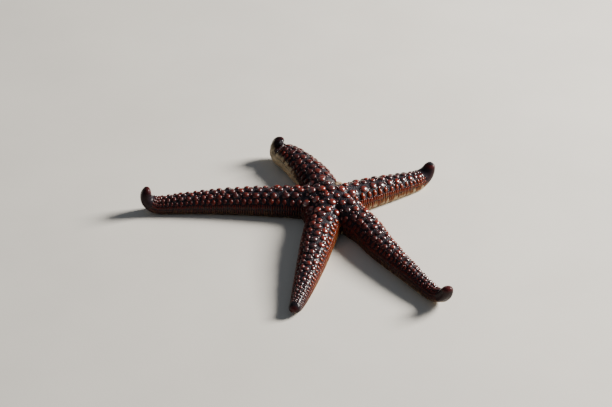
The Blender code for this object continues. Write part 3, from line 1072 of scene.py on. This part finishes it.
def towards_rim(x, y):
    """Distance from the middle of the disc to its edge, and the level of that edge, in one direction."""
    height = ROOT_WIDTH * ROOT_HEIGHT_SHARE * (1.0 - PLATE_ROOM)
    widest = height * WIDEST_LEVEL
    for index, (start, end) in enumerate(zip(RIM, RIM[1:] + RIM[:1])):
        before, after = start.x * y - start.y * x, end.x * y - end.y * x
        if before >= 0.0 > after and (start.x + end.x) * x + (start.y + end.y) * y > 0.0:
            part = before / (before - after)
            across_arm = index % 2 == 0
            bulge = math.sqrt(1.0 - (2.0 * part - 1.0) ** 2) if across_arm else 0.0
            return start.lerp(end, part).length, widest + (height - widest) * bulge
    raise ValueError("the disc's edge doesn't go round its middle")


DISC_NET = (  # place in a cell of the net, kind and chance of what stands on the disc
    (0.0, 0.0, "plate", 1.0),
    (0.5, 0.33, "bead", 0.50),
    (0.0, 0.62, "bead", 0.30),
    (0.5, 0.0, "grain", 0.5),
    (0.25, 0.5, "grain", 0.3),
)


def disc_spots(sizes, skin_tree):
    """Domed plates, beads and grains on the back of the disc, in a slightly shaken net of triangles."""
    rng, step = random.Random(SEEDS["disc"]), sizes.disc_spacing
    sieve = flat_way(SIEVE_AZIMUTH)[0] * SIEVE_DISTANCE
    reach = int(0.03 / step)
    plates, beads = [], []
    for line in range(-reach, reach + 1):
        for place in range(-reach, reach + 1):
            x, y = (place + line / 2.0) * step, line * step * 1.06
            for dx, dy, kind, chance in DISC_NET:
                px = x + step * (dx + shake(rng, 0.08))
                py = y + step * (dy + shake(rng, 0.08))
                tone, big, luck = rng.random(), rng.uniform(0.90, 1.06), rng.random()
                if kind == "plate":
                    radius = sizes.disc_plate_radius * big * (0.72 if luck < 0.15 else 1.0)
                elif kind == "bead":
                    radius = sizes.bead_share * ROOT_WIDTH * big
                else:
                    radius, tone = sizes.granule_radius * big, tone * LOOSE_TONE
                edge = towards_rim(px, py)[0] - min(radius, 0.0010)
                off = Vector((px, py, 0.0))
                near_sieve = (off - sieve).length < SIEVE_RADIUS + radius + 0.0002
                if luck > chance or math.hypot(px, py) > edge or near_sieve:
                    continue
                hit, normal, _, _ = skin_tree.ray_cast(CENTRE + off + UP * (DISC_HEIGHT * 2.0), -UP)
                if hit is None:
                    raise RuntimeError("a plate of the disc finds no skin")
                along = off.normalized()
                along = (along - normal * along.dot(normal)).normalized()
                lengths = (radius, radius, radius * DISC_RISE)
                spot = Spot(hit, along, normal, lengths, (px, py), 0.0, 1.0, tone)
                (plates if kind == "plate" else beads).append(spot)
    return plates, beads


def tree_of(piece):
    """A tree of a piece's faces, for finding where a line meets it."""
    mesh = piece.data
    return BVHTree.FromPolygons(points_of(mesh).tolist(), [tuple(f.vertices) for f in mesh.polygons])


def seated(spots, skin_tree):
    """The spots moved on to the finished skin."""
    for spot in spots:
        start = spot.place + spot.out * SEAT_REACH
        hit, normal, _, _ = skin_tree.ray_cast(start, -spot.out, SEAT_REACH * 2.0)
        if hit is not None:
            spot.place = hit
            spot.out = (spot.out + normal * SEAT_TURN).normalized()
            spot.along = (spot.along - spot.out * spot.along.dot(spot.out)).normalized()
    return spots


def row_spots(index, seed, girdle, pitch_share, shape, roundness):
    """A row of like pieces along both sides of one arm. Shape: half sizes over the width."""
    path, rng = PATHS[index], random.Random(seed + index)
    arm, found = path.arm, []
    start, short = FLANK_REACH
    for side in (-1.0, 1.0):
        for distance in stations(arm, pitch_share, arm.root + start, arm.length - short):
            width = width_at(arm, distance)
            left = dressed(arm, distance, *RIDGES_END)
            big = rng.uniform(0.88, 1.10)
            moved = distance + pitch_share * width * shake(rng, 0.12)
            length, breadth, height = (width * part * big for part in shape)
            sizes = (length, breadth * (0.5 + 0.5 * left), height * left)
            if sizes[2] < LEAST_HEIGHT:
                continue
            spot = spot_on(path, moved, side, girdle + shake(rng, 2.0), sizes, rng.random())
            spot.bend = roundness / width
            if not in_other_arm(path, spot.place):
                found.append(spot)
    return found


COMB_ROWS = (  # seed, girdle, pitch over that of the ridges, shape, roundness
    (200, 37.0, 2.9, (0.076, 0.104, 0.055), 0.0),
    (250, 15.0, 1.0, (0.031, 0.094, 0.034), 2.4),
    (300, -19.0, 1.0, (0.033, 0.150, 0.036), 2.8),
    (400, -66.0, 0.8, (0.024, 0.100, 0.030), 3.5),
)
WEB_SEARCH = 0.006  # how far outside and inside the disc's edge the skin of a web is looked for
WEB_PATCH = 0.002  # between the rows on the webs' part of the unrolled skin
WEB_ROWS = (  # level over that of the disc's edge, pitch over that of the ridges, shape, roundness
    (1.60, 2.9, (0.072, 0.098, 0.066), 0.0),
    (1.18, 1.0, (0.029, 0.088, 0.036), 2.0),
    (0.62, 1.0, (0.031, 0.128, 0.038), 2.8),
    (0.10, 0.8, (0.022, 0.095, 0.030), 3.0),
)


def web_spots(skin_tree, pitch_share):
    """Upright plates and ridges on the straight webs of the disc, between the roots of two arms."""
    rng, found = random.Random(SEEDS["webs"]), []
    # each web takes the rust and painted shade of the two flanks beside it
    rusts_and_shades = [(arm.rust[1] + after.rust[0]) / 2.0 for arm, after in zip(ARMS, ARMS[1:] + ARMS[:1])]
    root_height = ROOT_WIDTH * ROOT_HEIGHT_SHARE
    for index in range(1, len(RIM), 2):
        start, end = RIM[index], RIM[(index + 1) % len(RIM)]
        web = end - start
        outward = Vector((web.y, -web.x, 0.0)).normalized()
        for number, (share, pitch, shape, roundness) in enumerate(WEB_ROWS):
            step = pitch_share * pitch * ROOT_WIDTH
            for place in range(int(web.length / step)):
                flat = start + web * ((place + 0.5) * step / web.length)
                tone, big, level = rng.random(), rng.uniform(0.90, 1.10), root_height * WIDEST_LEVEL * share
                origin = CENTRE + Vector((flat.x, flat.y, level)) + outward * WEB_SEARCH
                hit, normal, _, _ = skin_tree.ray_cast(origin, -outward, WEB_SEARCH * 2.0)
                if hit is None:
                    continue
                along = Vector((-normal.y, normal.x, 0.0)).normalized()
                sizes = tuple(ROOT_WIDTH * part * big for part in shape)
                unwrap = (place * step - (index + 2.0) * WEB_PATCH, number * WEB_PATCH)
                looks = (0.0, level / root_height, tone, rusts_and_shades[index // 2], roundness / ROOT_WIDTH)
                found.append(Spot(hit, along, normal, sizes, unwrap, *looks))
    return found


# ---------------------------------------------------------------- skin
DISC_BACK, DISC_SIDE, DISC_UNDER = 0.55, 0.30, 0.15  # shares of the disc's outline, from its top down
SKIN_CREAM = 0.4  # how far the cream comes up the skin, over how far it comes up the pieces on it
CREST_HALF = 0.003  # half width of the band along the crest where one flank's rust and painted shade become the other's
GROOVE_RIM = 0.06  # how much wider than the groove, in shares of the width, its own colour is
LEVELS = (-0.3, 1.2)  # lowest and highest level that the skin keeps
LOOKUP_STEP = 0.0005  # between the places along an arm that the skin's attributes are worked out for
ARM_GRID, DISC_GRID = (160, 72), (180, 60)  # cells along and round a body, or round it and down it
END_DENSITY = 1.25  # above 1, an arm's cells are shorter towards its end
MOUND_FOOT = 0.8  # radius over a plate's own at which its mound starts to fall, and over which it falls
UNDERSIDE = (0.0012, -0.3, 0.022)  # level and normal at most, and radius, of the disc's flat underside


def rolled_grid(name, columns, rows, point_at):
    """A closed body: a grid whose points go where a function of their two shares puts them."""
    deselect_all()
    bpy.ops.mesh.primitive_grid_add(x_subdivisions=columns, y_subdivisions=rows, size=1.0)
    body = named(name)
    placed = [tuple(point_at(point.co.x + 0.5, point.co.y + 0.5)) for point in body.data.vertices]
    set_points(body.data, placed)
    close_seams()
    return body


def arm_point(path, reach, share):
    """A point of an arm's body: reach is 0 in the disc and 1 at the arm's end, share goes round it."""
    distance = path.arm.length * (1.0 - (1.0 - reach) ** END_DENSITY)
    return path.place(distance, *ring_point(path.arm, distance, share))


def disc_point(round_by, share):
    """A point of the disc: round_by goes once round it, share is 0 on top of its middle and 1 underneath."""
    turn = math.tau * round_by
    x, y = math.cos(turn), math.sin(turn)
    reach, edge = towards_rim(x, y)
    undercut = ROOT_WIDTH / 2.0 * (1.0 - FLAT_SHARE)
    if share < DISC_BACK:
        part = share / DISC_BACK
        top = DISC_HEIGHT * (1.0 - PLATE_ROOM)
        radius, level = reach * part, edge + (top - edge) * (1.0 - part**2)
    elif share < DISC_BACK + DISC_SIDE:
        girdle = math.radians(90.0 * (share - DISC_BACK) / DISC_SIDE)
        radius, level = reach - undercut * (1.0 - math.cos(girdle)), edge * (1.0 - math.sin(girdle))
    else:
        radius, level = (reach - undercut) * (1.0 - share) / DISC_UNDER, 0.0
    return CENTRE + Vector((x * radius, y * radius, level))


def close_seams():
    """Merges the edges of a rolled-up grid, caps what is still open and turns its faces outwards."""
    bpy.ops.object.mode_set(mode="EDIT")
    bpy.ops.mesh.select_all(action="SELECT")
    bpy.ops.mesh.remove_doubles(threshold=2e-6)
    bpy.ops.mesh.select_all(action="DESELECT")
    bpy.ops.mesh.select_mode(type="VERT")
    bpy.ops.mesh.select_non_manifold()
    bpy.ops.mesh.edge_face_add()
    bpy.ops.mesh.select_all(action="SELECT")
    bpy.ops.mesh.normals_make_consistent(inside=False)
    bpy.ops.object.mode_set(mode="OBJECT")


def hollow_under(points, normals):
    """Presses the grooves and the mouth into the flat underside of the disc."""
    off = points[:, :2] - np.array(CENTRE[:2])
    radius = np.linalg.norm(off, axis=1)
    highest, steepest, furthest = UNDERSIDE
    under = (points[:, 2] < highest) & (normals[:, 2] < steepest) & (radius < furthest)
    level = MOUTH_DEPTH * np.clip(1.0 - (radius / MOUTH_RADIUS) ** 2, 0.0, 1.0)
    groove_half = ROOT_WIDTH / 2.0 * GROOVE_SHARE
    groove_depth = ROOT_WIDTH * ROOT_HEIGHT_SHARE * GROOVE_DEPTH_SHARE
    for arm in ARMS:
        out, left = (np.array(way[:2]) for way in flat_way(arm.azimuth))
        ahead, aside = off @ out, np.abs(off @ left)
        wall = groove_depth * np.clip(1.0 - aside / groove_half, 0.0, 1.0)
        level = np.maximum(level, np.where((ahead > 0.0) & (ahead < arm.root + 0.001), wall, 0.0))
    points[under, 2] = np.maximum(points[under, 2], level[under])


def swell(points, normals, spots, rise):
    """Raises the skin into a soft mound round every spot."""
    places = np.array([spot.place for spot in spots], np.float32)
    radii = np.array([max(spot.sizes[:2]) for spot in spots], np.float32)
    gap = np.ones(len(points), np.float32)
    for start in range(0, len(points), CHUNK):
        rows = slice(start, start + CHUNK)
        apart = np.linalg.norm(points[rows][:, None] - places[None], axis=2) / radii[None]
        gap[rows] = np.clip((apart.min(1) - MOUND_FOOT) / MOUND_FOOT, 0.0, 1.0)
    gap = gap * gap * (3.0 - 2.0 * gap)
    points += normals * (rise * (1.0 - gap))[:, None]


def skin_attributes(mesh):
    """Stores how high on the body and how far out on a finger each point is, and how rusty it is there, with
    painted shade.
    """
    found = locate(points_of(mesh))
    level, finger, rust = np.zeros((3, len(found)))
    for index, arm in enumerate(ARMS):
        mine = found[:, 0] == index
        distance, aside, up = found[mine, 1:].T
        steps = np.arange(0.0, arm.length + 4.0 * LOOKUP_STEP, LOOKUP_STEP)
        heights = [max(height_at(arm, step), 1e-4) for step in steps]
        halves = [width_at(arm, step) / 2.0 for step in steps]
        creams = [-paled(arm, step, 0.0, SKIN_CREAM) for step in steps]
        high = up / np.interp(distance, steps, heights)
        groove = np.abs(aside) < np.interp(distance, steps, halves) * (GROOVE_SHARE + GROOVE_RIM)
        high = np.where(groove & (high < 0.5), 0.0, high)
        level[mine] = high - np.interp(distance, steps, creams) * (1.0 - high)
        finger[mine] = 1.0 - (arm.length - distance) / (arm.bare + forming(arm))
        # rust with painted shade, from one flank to the other across the crest
        rust[mine] = rust_and_shade_at(arm, np.clip(aside / CREST_HALF, -1.0, 1.0))
    keep(mesh, "level", np.clip(level, *LEVELS))
    keep(mesh, "finger", np.clip(finger, 0.0, 1.0))
    keep(mesh, "rust", rust)


class SKIN_OT_build(bpy.types.Operator):
    """Make the one skin of the disc, the arms and their tips"""

    bl_idname = "sea_star.skin"
    bl_label = "Skin"
    bl_options = {"REGISTER", "UNDO"}

    def execute(self, context):
        sizes = context.scene.star_sizes
        parts = [
            rolled_grid(path.arm.name + "_skin", *ARM_GRID, partial(arm_point, path)) for path in PATHS
        ]
        parts.append(rolled_grid("disc_dome", *DISC_GRID, disc_point))
        pick(parts[0])
        for part in parts:
            part.select_set(True)
        bpy.ops.object.join()
        skin = named("skin")
        apply_modifier(skin, "REMESH", mode="VOXEL", voxel_size=sizes.voxel)
        apply_modifier(skin, "SMOOTH", factor=0.5, iterations=6)
        points, normals = points_of(skin.data), triples(skin.data.vertex_normals, "vector")
        hollow_under(points, normals)
        set_points(skin.data, points)
        tree = tree_of(skin)
        spots = disc_spots(sizes, tree)[0]
        for index in range(len(ARMS)):
            spots += back_spots(index, sizes)[0]
        swell(points, normals, spots, sizes.mound)
        points[:, 2] = np.maximum(points[:, 2], 0.0)
        set_points(skin.data, points)
        skin_attributes(skin.data)
        nodes = ["disc"] + [arm.name for arm in ARMS] + [arm.name + "_tip" for arm in ARMS]
        hand_over(skin, skin_finish(context.scene.star_colours), "body_wall", *nodes)
        return {"FINISHED"}


class PLATES_OT_build(bpy.types.Operator):
    """Set the domed plates and the granules between them on the back"""

    bl_idname = "sea_star.plates"
    bl_label = "Plates and Granules"
    bl_options = {"REGISTER", "UNDO"}

    def execute(self, context):
        sizes, tree = context.scene.star_sizes, tree_of(bpy.data.objects["skin"])
        material = plate_finish(context.scene.star_colours)
        plate, granule = dome_master(12, 8), dome_master(8, 6)
        groups = [("disc", *disc_spots(sizes, tree))]
        groups += [(arm.name, *back_spots(i, sizes)) for i, arm in enumerate(ARMS)]
        for name, plates, granules in groups:
            set_out(name + "_plates", plate, seated(plates, tree), material)
            set_out(name + "_granules", granule, seated(granules, tree), material)
        return {"FINISHED"}


class COMBS_OT_build(bpy.types.Operator):
    """Set the upright plates and the rows of ridges on the flanks of the arms and of the disc"""

    bl_idname = "sea_star.combs"
    bl_label = "Flank Combs"
    bl_options = {"REGISTER", "UNDO"}

    def execute(self, context):
        sizes, tree = context.scene.star_sizes, tree_of(bpy.data.objects["skin"])
        material = comb_finish(context.scene.star_colours)
        dome = dome_master(10, 8)
        pitch = sizes.comb_pitch_share
        for index, arm in enumerate(ARMS):
            spots = []
            for seed, girdle, over, shape, roundness in COMB_ROWS:
                spots += row_spots(index, seed, girdle, pitch * over, shape, roundness)
            set_out(arm.name + "_combs", dome, seated(spots, tree), material)
        set_out("web_combs", dome, web_spots(tree, pitch), material)
        return {"FINISHED"}


def groove_point(path, distance, side, width_share, height_share):
    """A point in or beside an arm's groove, from shares of half the width and of the height."""
    half, height = width_at(path.arm, distance) / 2.0, height_at(path.arm, distance)
    return path.place(distance, side * half * width_share, height * height_share)


def groove_spots(path, seed, pitch_share, start, end, half_width, length):
    """Pieces on both sides of an arm's groove, each from one point of a section towards another."""
    arm, rng, found = path.arm, random.Random(seed), []
    share_of_root, short = GROOVE_REACH
    for side in (-1.0, 1.0):
        for distance in stations(arm, pitch_share, arm.root * share_of_root, arm.length - short):
            left = dressed(arm, distance, *SPINES_END)
            if left < 0.1:
                continue
            moved = distance + shake(rng, 0.0001)
            foot = groove_point(path, moved, side, *start)
            way = groove_point(path, moved + shake(rng, 0.0003), side, *end) - foot
            out = way.normalized()
            ahead = path.place(moved + PATH_STEP, 0.0, 0.0) - path.place(moved, 0.0, 0.0)
            along = (ahead - out * ahead.dot(out)).normalized()
            thin = half_width * (0.5 + 0.5 * width_at(arm, moved) / ROOT_WIDTH)
            reach = way.length if length is None else length * width_at(arm, moved) / ROOT_WIDTH
            sizes, unwrap = (thin, thin, reach * left), (distance, side * 0.004)
            share = share_along(arm, distance)
            found.append(Spot(foot, along, out, sizes, unwrap, share, 0.0, rng.random()))
    return found


SPINE_ROW = (0.060, (0.30, 0.012), (0.10, 0.020), 0.00030, 0.0019)  # pitch, foot, aim, half width, length
FOOT_ROW = (0.078, (0.07, 0.16), (0.11, 0.012), 0.00042, None)  # the same, with a length that reaches its aim


def line_grooves(kind, master, material, seed, row):
    """Sets a piece of spines or tube feet in every arm's groove."""
    for index, path in enumerate(PATHS):
        set_out(path.arm.name + kind, master, groove_spots(path, seed + index, *row), material)


class SPINES_OT_build(bpy.types.Operator):
    """Set the rows of cream spines along the grooves"""

    bl_idname = "sea_star.spines"
    bl_label = "Groove Spines"
    bl_options = {"REGISTER", "UNDO"}

    def execute(self, context):
        material = spine_finish(context.scene.star_colours)
        line_grooves("_groove_spines", spine_master(), material, SEEDS["spines"], SPINE_ROW)
        return {"FINISHED"}


class FEET_OT_build(bpy.types.Operator):
    """Set the tube feet in the grooves"""

    bl_idname = "sea_star.tube_feet"
    bl_label = "Tube Feet"
    bl_options = {"REGISTER", "UNDO"}

    def execute(self, context):
        material = foot_finish(context.scene.star_colours)
        line_grooves("_tube_feet", foot_master(), material, SEEDS["feet"], FOOT_ROW)
        return {"FINISHED"}


MOUTH_TURNS = (-17.0, -6.0, 6.0, 17.0)  # of the spines in one corner of the mouth, from its middle
MOUTH_SPINE = 0.00042  # half width
MOUTH_REACH = (0.62, 0.74)  # length over the mouth's radius, at least and at most
MOUTH_FOOT = 0.0004  # how high over the floor the spines stand out of the mouth's rim
MOUTH_SLOPE = 0.12  # and how steeply they rise


class MOUTH_OT_build(bpy.types.Operator):
    """Set the spines that close over the mouth"""

    bl_idname = "sea_star.mouth"
    bl_label = "Mouth Spines"
    bl_options = {"REGISTER", "UNDO"}

    def execute(self, context):
        rng, spots = random.Random(SEEDS["mouth"]), []
        azimuths = sorted(arm.azimuth % 360.0 for arm in ARMS)
        for azimuth, after in zip(azimuths, azimuths[1:] + [azimuths[0] + 360.0]):
            for turn_by in MOUTH_TURNS:
                outward = flat_way((azimuth + after) / 2.0 + turn_by)[0]
                foot = CENTRE + outward * MOUTH_RADIUS * 1.02 + UP * MOUTH_FOOT
                out = (-outward + UP * MOUTH_SLOPE).normalized()
                sizes = (MOUTH_SPINE, MOUTH_SPINE, MOUTH_RADIUS * rng.uniform(*MOUTH_REACH))
                flat = (outward.x * MOUTH_RADIUS, outward.y * MOUTH_RADIUS)
                spots.append(Spot(foot, UP.cross(out).normalized(), out, sizes, flat, 0.0, 0.0, rng.random()))
        set_out("mouth_spines", spine_master(), spots, spine_finish(context.scene.star_colours))
        return {"FINISHED"}


SIEVE_RISE = 0.0006  # half the sieve plate's thickness
FURROWS = 18
FURROW_DEPTH = 0.00024
FURROW_WAVE = (2.2, 9.0)  # how far the furrows wind, and how often
FURROW_ENDS = (2.2, 6.0)  # how fast they deepen from the middle, and rise again to the rim


class SIEVE_OT_build(bpy.types.Operator):
    """Model the sieve plate with its radial furrows"""

    bl_idname = "sea_star.sieve_plate"
    bl_label = "Sieve Plate"
    bl_options = {"REGISTER", "UNDO"}

    def execute(self, context):
        low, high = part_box("sieve_plate")
        deselect_all()
        middle = Vector(((low.x + high.x) / 2.0, (low.y + high.y) / 2.0, high.z - SIEVE_RISE))
        bpy.ops.mesh.primitive_uv_sphere_add(segments=72, ring_count=28, radius=1.0, location=middle)
        bpy.context.object.scale = (SIEVE_RADIUS, SIEVE_RADIUS, SIEVE_RISE)
        sieve = named("furrowed_sieve_plate")
        points = points_of(sieve.data)
        off = points[:, :2] - np.array(middle[:2])
        radius = np.linalg.norm(off, axis=1) / SIEVE_RADIUS
        turn = np.arctan2(off[:, 1], off[:, 0])
        ray = 0.5 + 0.5 * np.cos(turn * FURROWS + FURROW_WAVE[0] * np.sin(radius * FURROW_WAVE[1]))
        inner, outer = radius * FURROW_ENDS[0], (1.0 - radius) * FURROW_ENDS[1]
        ends = np.clip(inner, 0.0, 1.0) * np.clip(outer, 0.0, 1.0)
        points[:, 2] -= FURROW_DEPTH * (1.0 - ray) * ends * (points[:, 2] > middle.z)
        set_points(sieve.data, points)
        keep(sieve.data, "crest", ray)
        hand_over(sieve, sieve_finish(context.scene.star_colours), "sieve_plate", "sieve_plate")
        return {"FINISHED"}


EYE_RADIUS = 0.0004
EYE_SHORT = 0.0014  # how far short of an arm's end its eyespot sits
EYE_LEVEL = 0.20  # and at what share of the height there
EYE_SLOPE = 0.8  # how steeply it looks down, where the arm's end looks straight ahead


class EYES_OT_build(bpy.types.Operator):
    """Set a red eyespot under the end of every arm"""

    bl_idname = "sea_star.eyespots"
    bl_label = "Eyespots"
    bl_options = {"REGISTER", "UNDO"}

    def execute(self, context):
        spots = []
        for path in PATHS:
            distance = path.arm.length - EYE_SHORT
            place = path.place(distance, 0.0, height_at(path.arm, distance) * EYE_LEVEL)
            ahead, left, up = (Vector(line[-3]) for line in (path.outs, path.lefts, path.ups))
            out = (ahead - up * EYE_SLOPE).normalized()
            spots.append(Spot(place, left, out, (EYE_RADIUS,) * 3, (distance, 0.0), 1.0, 0.0, 0.5))
        set_out("eyespots", dome_master(12, 8), spots, eyespot_finish(context.scene.star_colours), "arm_tip")
        return {"FINISHED"}


LAMPS = (  # name, place from the middle of the disc, edge length and colour
    ("key_light", (0.99, 0.32, 0.62), 0.42, (1.0, 0.96, 0.90)),
    ("fill_light", (-0.9, -0.8, 0.9), 1.2, (0.88, 0.93, 1.0)),
)
SKY_COLOUR = (0.80, 0.88, 1.0, 1.0)
SKY_STRENGTH = 0.13


class STAGE_OT_build(bpy.types.Operator):
    """Lay the plain floor and set the lights and the camera"""

    bl_idname = "sea_star.stage"
    bl_label = "Stage"
    bl_options = {"REGISTER", "UNDO"}

    def execute(self, context):
        stage = context.scene.stage_settings
        deselect_all()
        bpy.ops.mesh.primitive_plane_add(size=8.0)
        floor = named("floor")
        floor.data.materials.append(floor_finish(stage))
        for lamp, watts in zip(LAMPS, (stage.key, stage.fill)):
            self.add_light(*lamp, watts)
        world = bpy.data.worlds.new("soft_sky")
        world.use_nodes = True
        background = world.node_tree.nodes["Background"]
        background.inputs["Color"].default_value = SKY_COLOUR
        background.inputs["Strength"].default_value = SKY_STRENGTH
        context.scene.world = world
        self.add_camera(context, stage)
        return {"FINISHED"}

    @staticmethod
    def add_light(name, place, size, colour, watts):
        """A square lamp that looks at the disc."""
        place = CENTRE + Vector(place)
        turn = (CENTRE - place).to_track_quat("-Z", "Y").to_euler()
        bpy.ops.object.light_add(type="AREA", location=place, rotation=turn)
        lamp = bpy.context.object
        lamp.name = name
        lamp.data.size = size
        lamp.data.energy = watts
        lamp.data.color = colour

    @staticmethod
    def add_camera(context, stage):
        """A long lens in front of the starfish."""
        aim = CENTRE + Vector(stage.aim)
        place = aim + Vector((0.0, -math.cos(stage.elevation), math.sin(stage.elevation))) * stage.distance
        turn = (aim - place).to_track_quat("-Z", "Y").to_euler()
        bpy.ops.object.camera_add(location=place, rotation=turn)
        camera = bpy.context.object
        camera.name = "camera"
        camera.data.lens = stage.lens
        camera.data.clip_start = 0.01
        context.scene.camera = camera


class STAR_PT_panel(bpy.types.Panel):
    """Lists the steps that dress the starfish"""

    bl_idname = "STAR_PT_panel"
    bl_label = "Sea Star"
    bl_space_type = "VIEW_3D"
    bl_region_type = "UI"
    bl_category = "Sea Star"

    def draw(self, context):
        for step in STEPS:
            self.layout.operator(step.bl_idname)


STEPS = (
    SKIN_OT_build,
    PLATES_OT_build,
    COMBS_OT_build,
    SPINES_OT_build,
    FEET_OT_build,
    MOUTH_OT_build,
    SIEVE_OT_build,
    EYES_OT_build,
    STAGE_OT_build,
)
GROUPS = (StarSizes, StarColours, StageSettings)


def register():
    for kind in (*GROUPS, *STEPS, STAR_PT_panel):
        bpy.utils.register_class(kind)
    bpy.types.Scene.star_sizes = bpy.props.PointerProperty(type=StarSizes)
    bpy.types.Scene.star_colours = bpy.props.PointerProperty(type=StarColours)
    bpy.types.Scene.stage_settings = bpy.props.PointerProperty(type=StageSettings)


def unregister():
    del bpy.types.Scene.stage_settings
    del bpy.types.Scene.star_colours
    del bpy.types.Scene.star_sizes
    for kind in reversed((*GROUPS, *STEPS, STAR_PT_panel)):
        bpy.utils.unregister_class(kind)


def main():
    """Dresses the starfish step by step."""
    register()
    bpy.ops.sea_star.skin()
    bpy.ops.sea_star.plates()
    bpy.ops.sea_star.combs()
    bpy.ops.sea_star.spines()
    bpy.ops.sea_star.tube_feet()
    bpy.ops.sea_star.mouth()
    bpy.ops.sea_star.sieve_plate()
    bpy.ops.sea_star.eyespots()
    bpy.ops.sea_star.stage()


if __name__ == "__main__":
    main()
